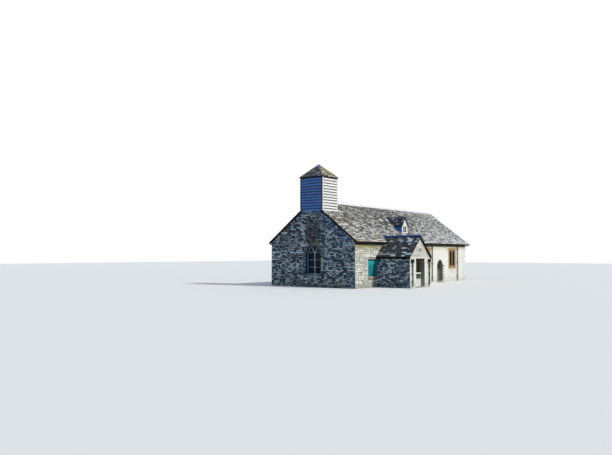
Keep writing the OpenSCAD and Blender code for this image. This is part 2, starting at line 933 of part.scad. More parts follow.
// Sheets of glass that lie flat against the backs of the frames
module window_glass()
    color("darkslateblue", 0.5) {
        for (place = [middle_light_place, east_light_place], side = [0, 1])
            mirror([0, side, 0])
                block(place - side_light_width / 2 + jamb_width / 2,
                    place + side_light_width / 2 - jamb_width / 2,
                    -half_width + stone_frame_depth,
                    -half_width + stone_frame_depth + glass_depth,
                    side_light_foot + stone_sill / 2,
                    side_light_foot + side_light_height - stone_head / 2);
        along_nave(gable_light_reveal + frame_depth,
            gable_light_reveal + frame_depth + glass_depth)
            translate([-west_light_shift, 0]) gable_light_shape(0);
        along_nave(nave_length - gable_light_reveal - frame_depth - glass_depth,
            nave_length - gable_light_reveal - frame_depth)
            gable_light_shape(0);
        at_dormer()
            translate([-dormer_light_width / 2, -dormer_reach + dormer_wall - glass_depth,
                dormer_light_foot])
                cube([dormer_light_width, glass_depth, dormer_light_height]);
    }

// Half-round gutter in section, open at the top, with its rim on the line y = 0
module gutter_section()
    difference() {
        circle(gutter_radius);
        circle(gutter_radius - gutter_wall);
        translate([-2 * gutter_radius, 0]) square([4 * gutter_radius, 2 * gutter_radius]);
    }

// A straight gutter from one end to the other on the south side, with brackets to the wall
module nave_gutter(x0, x1) {
    count = max(1, round((x1 - x0) / bracket_spacing));
    along_nave(x0, x1)
        translate([-half_width - gutter_place, gutter_rim]) gutter_section();
    for (i = [0:count - 1]) {
        x = x0 + (x1 - x0) * (i + 0.5) / count;
        block(x - bracket_width / 2, x + bracket_width / 2,
            -half_width - gutter_place, -half_width,
            gutter_rim - gutter_radius - gutter_wall, gutter_rim - gutter_radius + gutter_wall);
    }
}

// Gap left round the porch roof where the nave's gutter stops
gutter_stop = (under_porch(0) + porch_top + ridge_depth * 2 - gutter_rim + gutter_radius)
    / porch_rise;

module porch_gutter(side) {
    x = side * (porch_width / 2 + gutter_place * 0.8);
    north = -half_width;
    south = -porch_front - gutter_radius;
    translate([east_of(porch_middle), 0, 0]) {
        across_nave(south, north)
            translate([x, porch_gutter_rim]) gutter_section();
        for (y = [-porch_front + 300, -half_width - 500])
            translate([min(x, side * porch_width / 2), y, porch_gutter_rim - gutter_radius
                - gutter_wall])
                cube([abs(x) - porch_width / 2, bracket_width, 2 * gutter_wall]);
    }
}

module gutters()
    color("black") {
        nave_gutter(-west_verge, porch_middle - gutter_stop);
        nave_gutter(porch_middle + gutter_stop, nave_length + east_verge * 0.8);
        mirror([0, 1, 0]) nave_gutter(-west_verge, nave_length + east_verge * 0.8);
        porch_gutter(-1);
        porch_gutter(1);
    }

// A pipe with its collars and the ears that hold it to the south wall's face
module downpipe(place, foot, head, face, off) {
    translate([east_of(place), -face - off, foot])
        difference() {
            union() {
                cylinder(r = pipe_radius, h = head - foot);
                for (z = [300, (head - foot) * 0.5, head - foot - 260])
                    translate([0, 0, z]) {
                        cylinder(r = pipe_radius + 8, h = 60);
                        translate([-pipe_radius - 30, 0, 15])
                            cube([2 * pipe_radius + 60, off, 30]);
                    }
            }
            translate([0, 0, -1]) cylinder(r = pipe_radius - pipe_wall, h = head - foot + 2);
        }
}

pipe_foot = 120;

// Box-shaped rainwater head that takes a porch gutter's end round to the front wall
module porch_downpipe(place) {
    head = porch_gutter_rim - gutter_radius - gutter_drop;
    off = gutter_place * 0.8;
    downpipe(place, pipe_foot, head - hopper_height, porch_front, off);
    difference() {
        block(place - hopper_width / 2, place + hopper_width / 2,
            -porch_front - off - pipe_radius - 20, -porch_front,
            head - hopper_height, head);
        block(place - hopper_width / 2 + pipe_wall * 2, place + hopper_width / 2 - pipe_wall * 2,
            -porch_front - off - pipe_radius - 20 + pipe_wall * 2, -porch_front - pipe_wall * 2,
            head - hopper_height + pipe_wall * 2, head + 1);
        translate([east_of(place), -porch_front - off, head - hopper_height - 1])
            cylinder(r = pipe_radius - pipe_wall, h = pipe_wall * 4);
    }
}

module downpipes()
    color("black") {
        for (place = [middle_pipe_place, east_pipe_place], side = [0, 1])
            mirror([0, side, 0])
                downpipe(place, pipe_foot, gutter_rim - gutter_radius, half_width, gutter_place);
        porch_downpipe(porch_place + porch_pipe_inset);
        porch_downpipe(porch_place + porch_width - porch_pipe_inset);
    }

// A leaf that hangs from the pins at the east side of a doorway, and opens inwards.
// The pins' axis is x = 0, y = 0; the leaf lies to the west of it.
module at_pins(place, width, reveal)
    translate([east_of(place + width / 2 + door_lap + pin_offset),
        -half_width + reveal + leaf_gap + leaf_depth + strap_depth / 2, 0])
        children();

module strap(length, z)
    translate([0, 0, z])
        difference() {
            union() {
                cylinder(r = eye_radius, h = strap_width);
                translate([-length, -strap_depth / 2, 0]) cube([length, strap_depth, strap_width]);
            }
            translate([0, 0, -1]) cylinder(r = pin_radius + pin_clearance, h = strap_width + 2);
        }

// A pin with its arm, which meets the wall beyond the eye
module pintle(z, reach)
    translate([0, 0, z - pin_clearance]) {
        cylinder(r = pin_radius, h = strap_width + pin_clearance + 12);
        translate([0, -arm_depth / 2, -arm_depth]) cube([reach, arm_depth, arm_depth]);
        translate([0, 0, -arm_depth]) cylinder(r = eye_radius, h = arm_depth);
    }

module leaf(width, foot, spring, rise) {
    full = width + 2 * door_lap;
    translate([-pin_offset - full / 2, -strap_depth / 2, foot + foot_gap])
        rotate([90, 0, 0])
            linear_extrude(leaf_depth)
                if (rise > 0) pointed(full, spring - foot - foot_gap, rise + door_lap);
                else translate([-full / 2, 0]) square([full, spring + door_lap - foot - foot_gap]);
}

// Heights of a leaf's two straps
function strap_heights(foot, spring) = [
    foot + (spring - foot) * 0.15, foot + (spring - foot) * 0.85 - strap_width
];
priest_straps = strap_heights(floor_height, priest_door_spring);
side_straps = strap_heights(side_door_sill, side_door_head);
gate_foot = porch_floor_height + foot_gap;
gate_straps = [gate_foot + gate_rail / 2 - strap_width / 2,
    gate_head - gate_rail / 2 - strap_width / 2];

// The inner door stays shut against the stone
module main_door_leaf()
    color("sienna")
        at_pins(porch_middle, main_door_width, door_reveal - leaf_gap)
            leaf(main_door_width, floor_height, main_door_spring, main_door_rise);

module priest_door_leaf()
    color("saddlebrown")
        at_pins(priest_door_place, priest_door_width, door_reveal)
            leaf(priest_door_width, floor_height, priest_door_spring, priest_door_rise);

module priest_door_straps()
    color("black")
        at_pins(priest_door_place, priest_door_width, door_reveal)
            for (z = priest_straps) strap(priest_door_width * 0.8, z);

// The low door hangs from its west side, so its pins mirror the others
module at_side_pins()
    translate([east_of(side_door_place - side_door_width / 2 - door_lap - pin_offset),
        -half_width + side_door_reveal + leaf_gap + leaf_depth + strap_depth / 2, 0])
        mirror([1, 0, 0]) children();

module side_door_leaf()
    color("darkturquoise")
        at_side_pins()
            leaf(side_door_width, side_door_sill, side_door_head, 0);

module side_door_straps()
    color("black")
        at_side_pins()
            for (z = side_straps) strap(side_door_width * 0.8, z);

gate_pin_x = porch_door_place + porch_door_width / 2 - eye_radius - eye_gap;
gate_width = porch_door_width - eye_radius - eye_gap - pin_offset - gate_gap;
module at_gate_pins()
    translate([east_of(gate_pin_x),
        -porch_front + gate_place + gate_depth + strap_depth / 2, 0])
        children();

module porch_gate_leaf() {
    foot = gate_foot;
    inner = gate_width - 2 * gate_rail;
    upper = gate_head - gate_rail - (foot + gate_rail + gate_panel + gate_rail);
    color("lightgray")
        at_gate_pins()
            translate([-pin_offset - gate_width, -strap_depth / 2 - gate_depth, foot]) {
                difference() {
                    cube([gate_width, gate_depth, gate_head - foot]);
                    translate([gate_rail, -1, gate_rail])
                        cube([inner, gate_depth + 2, gate_panel]);
                    translate([gate_rail, -1, 2 * gate_rail + gate_panel])
                        cube([inner, gate_depth + 2, upper]);
                }
                translate([gate_rail - 1, (gate_depth - gate_board) / 2, gate_rail - 1])
                    cube([inner + 2, gate_board, gate_panel + 2]);
                for (i = [1:gate_bars])
                    translate([gate_rail + inner * i / (gate_bars + 1) - gate_board / 2,
                        (gate_depth - gate_board) / 2, 2 * gate_rail + gate_panel - 1])
                        cube([gate_board, gate_board, upper + 2]);
            }
}

module porch_gate_straps()
    color("black")
        at_gate_pins()
            for (z = gate_straps) strap(gate_width * 0.6, z);

module door_pintles()
    color("black") {
        at_pins(priest_door_place, priest_door_width, door_reveal)
            for (z = priest_straps) pintle(z, door_rebate - door_lap - pin_offset);
        at_side_pins()
            for (z = side_straps) pintle(z, door_rebate - door_lap - pin_offset);
        at_gate_pins()
            for (z = gate_straps) pintle(z, eye_radius + eye_gap);
    }

nave_floor();
west_wall();
east_wall();
north_wall();
south_wall_west();
south_wall_middle();
south_wall_east();
doorway_heads();
priest_door_surround();
side_door_surround();
door_sills();
tie_beams();
nave_roof_south();
nave_roof_north();
nave_ridge();
turret_frame();
turret_boarding();
turret_corner_boards();
turret_roof();
turret_cap();
dormer_walls();
dormer_roof();
dormer_window();
porch_floor();
porch_walls();
porch_gable();
porch_lintel();
porch_roof_west();
porch_roof_east();
porch_ridge();
gable_window_frames();
side_window_frames();
window_glass();
gutters();
downpipes();
door_pintles();
main_door_leaf();
priest_door_leaf();
priest_door_straps();
side_door_leaf();
side_door_straps();
porch_gate_leaf();
porch_gate_straps();
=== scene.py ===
# %% [markdown]
# # A small rubble-stone chapel
#
# The solids of the chapel come from the construction model and stay where
# they are. This file dresses them: it lays stones in the walls and slates on
# the roofs, boards the doors, and gives every surface a procedural finish.

# %% Load the frame
import json
import math
import random
import bmesh
import bpy
from mathutils import Matrix, Vector

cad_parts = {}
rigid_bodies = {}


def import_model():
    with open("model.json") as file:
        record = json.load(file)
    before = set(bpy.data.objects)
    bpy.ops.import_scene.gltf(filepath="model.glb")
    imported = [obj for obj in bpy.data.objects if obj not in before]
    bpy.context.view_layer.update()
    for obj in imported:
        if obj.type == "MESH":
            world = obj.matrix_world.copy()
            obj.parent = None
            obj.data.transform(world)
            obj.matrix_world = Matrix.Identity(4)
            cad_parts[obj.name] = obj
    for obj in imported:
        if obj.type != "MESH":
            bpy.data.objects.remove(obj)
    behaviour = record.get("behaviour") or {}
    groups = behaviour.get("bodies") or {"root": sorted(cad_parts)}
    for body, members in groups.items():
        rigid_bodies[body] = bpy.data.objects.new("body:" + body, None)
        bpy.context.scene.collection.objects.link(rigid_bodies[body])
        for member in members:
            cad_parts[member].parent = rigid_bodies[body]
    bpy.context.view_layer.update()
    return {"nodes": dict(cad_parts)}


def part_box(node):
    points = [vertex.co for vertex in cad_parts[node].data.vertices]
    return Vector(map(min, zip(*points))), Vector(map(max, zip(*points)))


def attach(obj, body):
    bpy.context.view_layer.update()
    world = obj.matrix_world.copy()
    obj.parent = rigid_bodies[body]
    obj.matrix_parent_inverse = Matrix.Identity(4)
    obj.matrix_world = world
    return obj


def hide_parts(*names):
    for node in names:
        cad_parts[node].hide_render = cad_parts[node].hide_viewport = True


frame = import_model()

# %% [markdown]
# The main places of the chapel could be typed in again, but then a change of
# size would leave the stones and slates behind. So they are read from the
# boxes of the solids. Only what a box can't tell is given here: the pitches of
# the roofs, and where the windows of the side walls stand. X runs east along
# the nave, Y north and Z up, in metres.

# %% Read the places of walls and roofs
west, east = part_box("west_wall")[0].x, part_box("east_wall")[1].x
south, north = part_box("west_wall")[0].y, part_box("west_wall")[1].y
roof_low, roof_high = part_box("nave_roof_south")
eaves_y, slate_top = -roof_low.y, roof_high.z
porch_low, porch_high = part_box("porch_walls")
porch_mid = (porch_low.x + porch_high.x) / 2
porch_half = (porch_high.x - porch_low.x) / 2
turret_low, turret_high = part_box("turret_boarding")
turret_middle = (turret_low.x + turret_high.x) / 2
main_mid = sum(v.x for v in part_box("main_door_leaf")) / 2
NAVE_PITCH, PORCH_PITCH, DORMER_PITCH = (math.radians(pitch) for pitch in (37.0, 42.5, 54.0))
RISE, PORCH_RISE = math.tan(NAVE_PITCH), math.tan(PORCH_PITCH)
WEST_END = 8.5  # from the west wall's face to the part's middle
EAST_WINDOW, PORCH_WINDOW = SIDE_WINDOWS = (14.4 - WEST_END, 9.85 - WEST_END)
FACE = 0.012  # how near to a wall's outer face a point still belongs to it


def nave_surface(y):
    """Height of the top of the nave's slates at a distance from the middle."""
    return slate_top - abs(y) * RISE


def roof_line(z):
    """Where the top of the nave's south slates has a given height."""
    return -(slate_top - z) / RISE


print("eaves", round(eaves_y, 3), "ridge", round(slate_top, 3), "nave", round(east - west, 2))

# %% [markdown]
# ## Shader maths as Python expressions
#
# A material is a network of nodes. Wiring one by hand takes many lines, so a
# small class wraps a socket and overloads the operators: adding two wrapped
# values adds a Math node.

# %% The wrapper for sockets
class Value:
    """A number, colour or vector that a node gives, inside one finish."""

    def __init__(self, finish, socket):
        self.finish, self.socket = finish, socket

    def maths(self, operation, first, second):
        return self.finish.node("Math", {"operation": operation}, {0: first, 1: second})

    def __add__(self, other):
        return self.maths("ADD", self, other)

    def __sub__(self, other):
        return self.maths("SUBTRACT", self, other)

    def __rsub__(self, other):
        return self.maths("SUBTRACT", other, self)

    def __mul__(self, other):
        return self.maths("MULTIPLY", self, other)

    def __gt__(self, other):
        return self.maths("GREATER_THAN", self, other)

    def __lt__(self, other):
        return self.maths("LESS_THAN", self, other)

    def size(self):
        return self.maths("ABSOLUTE", self, 0.0)

    __radd__, __rmul__ = __add__, __mul__


print("operators:", "+ - * > <")

# %% [markdown]
# Any other node comes from one method, which sets the node's options first and
# then its inputs. The shorter methods give what every finish of the chapel
# needs: a place, a noise, a range that is stretched to another one, a mix of
# two colours. The last one joins them to the shader. What is the same all
# over a surface is set on the shader's own socket.

# %% One finish under construction
class Finish:
    """One procedural material under construction."""

    def __init__(self, name):
        self.material = bpy.data.materials.new(name)
        self.material.use_nodes = True
        self.tree = self.material.node_tree
        self.shader = self.tree.nodes["Principled BSDF"]

    def node(self, kind, settings=None, inputs=None, output=0):
        made = self.tree.nodes.new("ShaderNode" + kind)
        for key, setting in (settings or {}).items():
            if key == "stops":
                ramp = made.color_ramp
                ramp.interpolation = "CONSTANT"
                while len(ramp.elements) < len(setting):
                    ramp.elements.new(0.5)
                for element, (place, colour) in zip(ramp.elements, setting):
                    element.position, element.color = place, (*colour, 1)
            else:
                setattr(made, key, setting)
        for key, given in (inputs or {}).items():
            self.give(made.inputs[key], given)
        return Value(self, made.outputs[output])

    def give(self, socket, given):
        """Links a value to a socket, or sets the socket to a number or a colour."""
        if isinstance(given, Value):
            self.tree.links.new(given.socket, socket)
        else:
            socket.default_value = given

    def place(self):
        """Where the shaded point is, in the chapel's own metres."""
        return self.node("TexCoord", output=3)

    def axis(self, letter):
        return self.node("SeparateXYZ", inputs={0: self.place()}, output="XYZ".index(letter))

    def stretched(self, scale):
        return self.node("Mapping", inputs={"Vector": self.place(), "Scale": scale})

    def noise(self, scale, detail=4.0, vector=None, rough=0.55):
        return self.node("TexNoise", inputs={"Vector": vector or self.place(), "Scale": scale,
                                             "Detail": detail, "Roughness": rough})

    def fit(self, value, low, high, to_low=0.0, to_high=1.0):
        """Stretches a range of the value to another range, and clamps it."""
        return self.node("MapRange", inputs={0: value, 1: low, 2: high, 3: to_low, 4: to_high})

    def mix(self, mask, first, second):
        """Second where the mask is 1, first where it is 0."""
        first, second = (c if isinstance(c, Value) else (*c, 1) for c in (first, second))
        return self.node("Mix", {"data_type": "RGBA"}, {0: mask, 6: first, 7: second}, 2)

    def pick(self, value, colours):
        """One of the colours, each for an equal share of the values from 0 to 1."""
        stops = [(i / len(colours), colour) for i, colour in enumerate(colours)]
        return self.node("ValToRGB", {"stops": stops}, {0: value})

    def attribute(self, name):
        return self.node("Attribute", {"attribute_name": name}, output=2)

    def done(self, colour, rough, bump=None, depth=0.01, strength=1.0, **constants):
        """Ends the material: colour, roughness, and a height in metres times depth."""
        self.give(self.shader.inputs["Base Color"], colour)
        self.give(self.shader.inputs["Roughness"], rough)
        if bump is not None:
            raised = self.node("Bump", inputs={
                "Height": bump, "Distance": depth, "Strength": strength})
            self.give(self.shader.inputs["Normal"], raised)
        for key, given in {"Specular_IOR_Level": 0.2, **constants}.items():
            self.give(self.shader.inputs[key.replace("_", " ")], given)
        return self.material


def scaled(colour, share):
    return [c * share for c in colour]


print("shader helpers ready")

# %% [markdown]
# ## Finishes for stone
#
# Rubble looks alive because no two stones have the same colour. A picture of a
# wall would repeat, and its stones wouldn't end where the modelled ones do.
# So each laid stone carries a random number called tint, and the finish turns
# it into one of the colours of the quarry. What time has added lies over all
# stones alike: limewash, growth under the gutter, damp and rust. Painted shade
# lies over them too: a blue cast of the sky, the eaves' shadow and a shade over
# one window.

# %% What time added to the stones, and painted shade
def east_of_porch(f):
    """0 west of the porch and 1 east of it, where the limewash was renewed."""
    return f.fit(f.axis("X"), porch_high.x - 1.2, porch_high.x + 0.4)


def paint_sky_shade(f, colour, amount):
    """Painted shade of the sky: a blue cast, high under the rake and at the south corner."""
    under_slates = slate_top - f.axis("Y").size() * RISE - f.axis("Z") + f.noise(1.6, 4.0)
    high = f.fit(under_slates, 0.85, 1.5, 1.0, 0.2) * f.fit(f.axis("Y"), -1.4, 1.6, 1.0, 0.3)
    corner = f.fit(f.axis("Y") + f.axis("Z") * 0.5, -3.3, -2.6, 1.0, 0.0)
    blue = f.mix(0.6, colour, (0.12, 0.34, 0.72))
    return f.mix(f.fit(high + corner, 0.0, 1.0) * amount, colour, blue)


def limewashed(f, colour, grain, share, wash, sunny, fresh_below):
    """A worn coat of limewash, with fresh mortar under a given height."""
    renewed = east_of_porch(f) * sunny
    kept = f.fit(f.noise(2.6, 9.0, rough=0.72) + renewed * 0.30,
                 0.5 - share * 0.5, 0.62 - share * 0.35)
    worn = f.fit(grain - renewed * 0.22, 0.30, 0.62, 1.0, 0.35)
    soft = f.fit(f.noise(3.5, 7.0, rough=0.7), 0.45, 0.62) * 0.55
    coat = f.mix(renewed, wash, f.mix(soft, (0.97, 0.98, 0.92), (0.76, 0.77, 0.70)))
    stained = f.fit(f.noise(1.4, 8.0, rough=0.7), 0.52, 0.64) * 0.3
    coat = f.mix(stained, coat, (0.52, 0.47, 0.36))
    colour = f.mix(kept * worn * 0.92, colour, coat)
    if fresh_below:
        low = f.fit(f.axis("Z"), fresh_below, fresh_below + 0.2, 0.7, 0.0)
        colour = f.mix(low * f.fit(grain, 0.28, 0.5, 0.4, 1.0), colour, (0.96, 0.97, 0.91))
    return colour


def sunny_stains_and_shade(f, colour, grain):
    """Ochre growth and the painted shadow of the eaves under the gutter, painted shade over one
    window, and rust under the other.
    """
    # Ochre growth, mixed with the painted shadow of the eaves.
    growth_and_eaves_shade = f.fit(f.axis("Z") + f.noise(5.0, 5.0) * 0.5, 2.84, 2.98) * f.fit(grain, 0.2, 0.5)
    colour = f.mix(growth_and_eaves_shade * 0.85, colour, (0.46, 0.40, 0.13))
    # Painted shade over the wall above the window by the porch.
    over = f.fit((f.axis("X") - (PORCH_WINDOW - 0.05)).size(), 0.9, 1.2, 1.0, 0.0)
    over = over * f.fit(f.axis("Z"), 2.72, 2.80)
    colour = f.mix(over * 0.85, colour, (0.16, 0.15, 0.07))
    sill = (f.axis("X") - EAST_WINDOW).size() + f.noise(3.0) * 0.5
    rusty = (f.fit(sill, 0.75, 1.0, 1.0, 0.0)
             * f.fit(f.axis("Z") + f.noise(4.0) * 0.3, 0.70, 0.95) * f.fit(grain, 0.3, 0.55))
    return f.mix(rusty * 0.6, colour, (0.55, 0.36, 0.20))


def damp_stains(f, colour):
    """Black damp over the west window, and a tuft of growth at its point."""
    middle = (f.axis("Y") + 0.14).size() + f.noise(2.4, 6.0) * 0.6
    height = f.axis("Z") + f.noise(2.0, 5.0) * 0.8
    stain = (f.fit(middle, 0.75, 1.15, 1.0, 0.0) * f.fit(height, 3.1, 3.5)
             * f.fit(height, 4.9, 5.4, 1.0, 0.0))
    colour = f.mix(stain * 0.72, colour, (0.035, 0.05, 0.045))
    from_tuft = ((f.axis("Y") + 0.46).size() + (f.axis("Z") - 3.17).size() * 1.3
                 + f.noise(14.0, 5.0) * 0.2)
    tuft = f.fit(from_tuft, 0.26, 0.34, 1.0, 0.0) * (f.axis("X") < 0.0)
    return f.mix(tuft * 0.75, colour, (0.48, 0.50, 0.18))


print("stains and coats:", 4)

# %% [markdown]
# One maker serves all the walls, and its options tell them apart: the weather
# side is grey and damp, with a painted blue shade, and the sunny side still
# carries a worn coat of limewash. Noise at three sizes adds grain, lichen and a
# dark foot, which is damp and also the painted shade of grass.

# %% Finish of the laid stones
FRESH_BELOW = 1.90  # the front of the porch is pointed anew up to here


def rubble_finish(name, colours, limewash=0.0, wash=(0.82, 0.81, 0.71), lichen=0.3, dirt=0.5,
                  damp=False, sunny=0, sky_shade=0.0, fresh_below=0.0):
    f = Finish(name)
    colour = f.pick(f.attribute("tint"), colours)
    grain = f.noise(30.0, 6.0, f.stretched((1, 1, 2.2)))
    colour = f.mix(f.fit(grain, 0.38, 0.68), colour, f.mix(dirt, colour, (0.05, 0.05, 0.05)))
    pale = f.fit(f.noise(8.0, 8.0, rough=0.7), 0.56, 0.64) * lichen
    colour = f.mix(pale, colour, (0.80, 0.82, 0.80))
    # Painted shade: a blue cast of the sky over the weather side.
    if sky_shade:
        colour = paint_sky_shade(f, colour, sky_shade)
    if limewash:
        colour = limewashed(f, colour, grain, limewash, wash, sunny, fresh_below)
    if sunny:
        colour = sunny_stains_and_shade(f, colour, grain)
    if damp:
        colour = damp_stains(f, colour)
    # Darker and greener at the foot: damp, and the painted shade of grass.
    foot = f.fit(f.axis("Z") + f.noise(3.0) * 0.5, 0.25, 0.8, 0.45, 0.0)
    colour = f.mix(foot, colour, (0.13, 0.15, 0.10))
    height = grain * 0.6 + f.noise(140.0, 3.0) * 0.25
    return f.done(colour, f.fit(grain, 0.3, 0.7, 0.82, 0.97), height, 0.016, 0.9)


print("rubble finish ready")

# %% [markdown]
# Each wall has its own list of the quarry's colours. A smooth blend between
# two colours would give many middling stones and few that stand out, so the
# ramp has steps, and each colour takes an equal share of the stones. The
# weather side is grey, tinted blue as the painted shade of the sky; the sunny
# side is cream.

# %% The colours of the rubble
# The west gable's pale stones are tinted blue: painted shade of the sky.
west_stone_sky_shade = rubble_finish("west_rubble", [
    (0.06, 0.08, 0.10), (0.80, 0.94, 0.98), (0.14, 0.18, 0.21), (0.90, 0.98, 1.0),
    (0.09, 0.11, 0.13), (0.46, 0.58, 0.63), (0.94, 0.98, 0.98), (0.08, 0.10, 0.11),
    (0.74, 0.88, 0.94), (0.86, 0.96, 0.98)], damp=True, lichen=0.15, dirt=0.2, sky_shade=0.6)
# The porch's west wall: the same rubble, tinted blue as painted shade of the sky.
porch_west_stone_sky_shade = rubble_finish("porch_west_rubble", [
    (0.07, 0.10, 0.13), (0.50, 0.70, 0.82), (0.16, 0.22, 0.26), (0.84, 0.96, 1.0),
    (0.10, 0.14, 0.18), (0.40, 0.56, 0.68), (0.76, 0.92, 1.0), (0.20, 0.30, 0.40)],
    lichen=0.2, dirt=0.2)
south_stone = rubble_finish("south_rubble", [
    (0.16, 0.16, 0.13), (0.88, 0.90, 0.82), (0.50, 0.50, 0.42), (0.94, 0.95, 0.90),
    (0.26, 0.26, 0.21), (0.86, 0.88, 0.80), (0.72, 0.73, 0.64), (0.92, 0.93, 0.88)],
    limewash=0.50, wash=(0.97, 0.98, 0.90), lichen=0.5, dirt=0.35, sunny=1)
porch_stone = rubble_finish("porch_rubble", [
    (0.30, 0.28, 0.23), (0.80, 0.78, 0.68), (0.50, 0.47, 0.37), (0.88, 0.87, 0.78),
    (0.38, 0.35, 0.27), (0.72, 0.69, 0.57)],
    limewash=0.72, wash=(0.96, 0.96, 0.91), lichen=0.5, dirt=0.4, fresh_below=FRESH_BELOW)
north_stone = rubble_finish("north_rubble", [
    (0.15, 0.15, 0.14), (0.46, 0.46, 0.42), (0.28, 0.28, 0.25), (0.60, 0.59, 0.53),
    (0.21, 0.20, 0.18), (0.44, 0.42, 0.36)], limewash=0.15, lichen=0.5)
print("materials so far:", len(bpy.data.materials))

# %% [markdown]
# Between the stones the wall's own solid shows, so its finish is the mortar.
# The same solid is plastered inside. Two materials on one solid would need
# its faces to be sorted; a test of where the shaded point lies does the same
# and keeps the solid as it came.

# %% Finish of mortar and plaster
ROOM_FACE = 0.45  # a face deeper in a nave wall than this looks into the room
PORCH_WALL = 0.41  # the same for the side walls of the porch
PORCH_FRONT = 0.43  # and for its front


def mortar_finish(name, outside, inside=(0.80, 0.78, 0.71), washed=None, flank=None,
                  reveal_shade=None, weather=None):
    """Mortar outside, plaster inside.

    washed is the colour east of the porch, flank that of a gable's south end, and
    the reveal colour is painted shade, in the reveals of the openings east of the
    porch. weather marks the porch's own mortar, and is its colour on the west side.
    """
    f = Finish(name)
    x, y = f.axis("X"), f.axis("Y")
    grit = f.noise(90.0, 5.0)
    patch = f.fit(f.noise(3.2, 7.0), 0.38, 0.62)
    mortar = f.mix(patch, outside, scaled(outside, 0.66))
    mortar = f.mix(f.fit(grit, 0.35, 0.65), mortar, scaled(outside, 0.8))
    if washed:
        mortar = f.mix(east_of_porch(f), mortar, washed)
    if flank:
        mortar = f.mix(y < south + FACE, mortar, flank)
    # Painted shade: the reveals of the openings east of the porch are darkened.
    if reveal_shade:
        dark = f.mix(f.fit(f.noise(7.0, 5.0), 0.4, 0.6), reveal_shade, scaled(reveal_shade, 1.7))
        mortar = f.mix((y.size() < -south - FACE) * (x > 1.4), mortar, dark)
    if weather:
        fresh = f.fit(f.axis("Z"), FRESH_BELOW, FRESH_BELOW + 0.2, 0.6, 0.0)
        mortar = f.mix(fresh, mortar, (0.90, 0.90, 0.83))
        mortar = f.mix(x < porch_low.x + FACE, mortar, weather)
    plaster = f.mix(f.fit(f.noise(1.8, 5.0), 0.35, 0.7), inside, scaled(inside, 0.88))
    in_nave = (y.size() < -south - ROOM_FACE) * (x.size() < east - ROOM_FACE)
    colour = f.mix(in_nave, mortar, plaster)
    if weather:
        from_mid = (x - porch_mid).size()
        # Painted shade: the reveals of the porch's doorway are darkened and mottled.
        in_doorway = (y > porch_low.y + FACE) * (y < porch_low.y + PORCH_FRONT)
        doorway_shade = f.mix(f.fit(f.noise(9.0, 6.0), 0.42, 0.58),
                        (0.22, 0.23, 0.22), (0.38, 0.38, 0.35))
        colour = f.mix(in_doorway * (from_mid < 0.66), colour, doorway_shade)
        in_porch = (from_mid < porch_half - PORCH_WALL) * (y > porch_low.y + PORCH_FRONT)
        colour = f.mix(in_porch, colour, plaster)
    return f.done(colour, f.fit(grit, 0.3, 0.7, 0.85, 0.98),
                  grit * 0.5 + f.noise(14.0, 6.0), 0.012, 0.7)


west_mortar = mortar_finish("west_mortar", (0.030, 0.036, 0.044), flank=(0.28, 0.27, 0.20))
south_mortar = mortar_finish("south_mortar", (0.28, 0.27, 0.20), washed=(0.84, 0.84, 0.77),
                             reveal_shade=(0.22, 0.24, 0.245))
porch_mortar = mortar_finish("porch_mortar", (0.62, 0.60, 0.52), (0.66, 0.68, 0.33),
                             weather=(0.035, 0.045, 0.055))
north_mortar = mortar_finish("north_mortar", (0.22, 0.22, 0.20), flank=(0.70, 0.70, 0.63))
print("materials so far:", len(bpy.data.materials))

# %% [markdown]
# Dressed stone is smoother than rubble, and is bedded in even blocks. The
# window surrounds are a warm brown stone, the porch lintel and the ridge
# pieces a pale one that lichen has greyed. Two colours that follow the bed,
# with spots on them, are enough for all of these.

# %% Finish of dressed stone
THRESHOLD_TOP = 0.67  # the side door's sill ends here, and the limewash begins


def dressed_finish(name, warm, cool, blotch=(0.78, 0.76, 0.70), lichen=0.5, mullions=(),
                   lime_below=0.0):
    f = Finish(name)
    bed = f.noise(5.0, 7.0, f.stretched((1, 1, 3)))
    colour = f.mix(f.fit(bed, 0.38, 0.62), warm, cool)
    for middle in mullions:
        colour = f.mix((f.axis("X") - middle).size() < 0.075, colour, (0.34, 0.32, 0.28))
    if lime_below:
        colour = f.mix(f.axis("Z") < lime_below, colour, (0.28, 0.27, 0.20))
    # Painted shade: the reveals of the stone windows are a dark brown.
    if mullions:
        colour = f.mix(f.axis("Y").size() < -south - FACE, colour, (0.17, 0.11, 0.06))
    spots = f.fit(f.noise(22.0, 8.0, rough=0.7), 0.55, 0.68) * lichen
    colour = f.mix(spots, colour, blotch)
    dark = f.fit(f.noise(11.0, 6.0), 0.30, 0.42, 0.5, 0.0)
    colour = f.mix(dark, colour, scaled(cool, 0.35))
    return f.done(colour, 0.88, bed * 0.5 + f.noise(120.0, 4.0) * 0.3, 0.008, 0.7)


surround_stone = dressed_finish("brown_dressed_stone", (0.50, 0.29, 0.10), (0.36, 0.21, 0.08),
                                (0.62, 0.50, 0.34), 0.2, mullions=SIDE_WINDOWS)
pale_stone = dressed_finish("pale_dressed_stone", (0.84, 0.82, 0.76), (0.70, 0.68, 0.60))
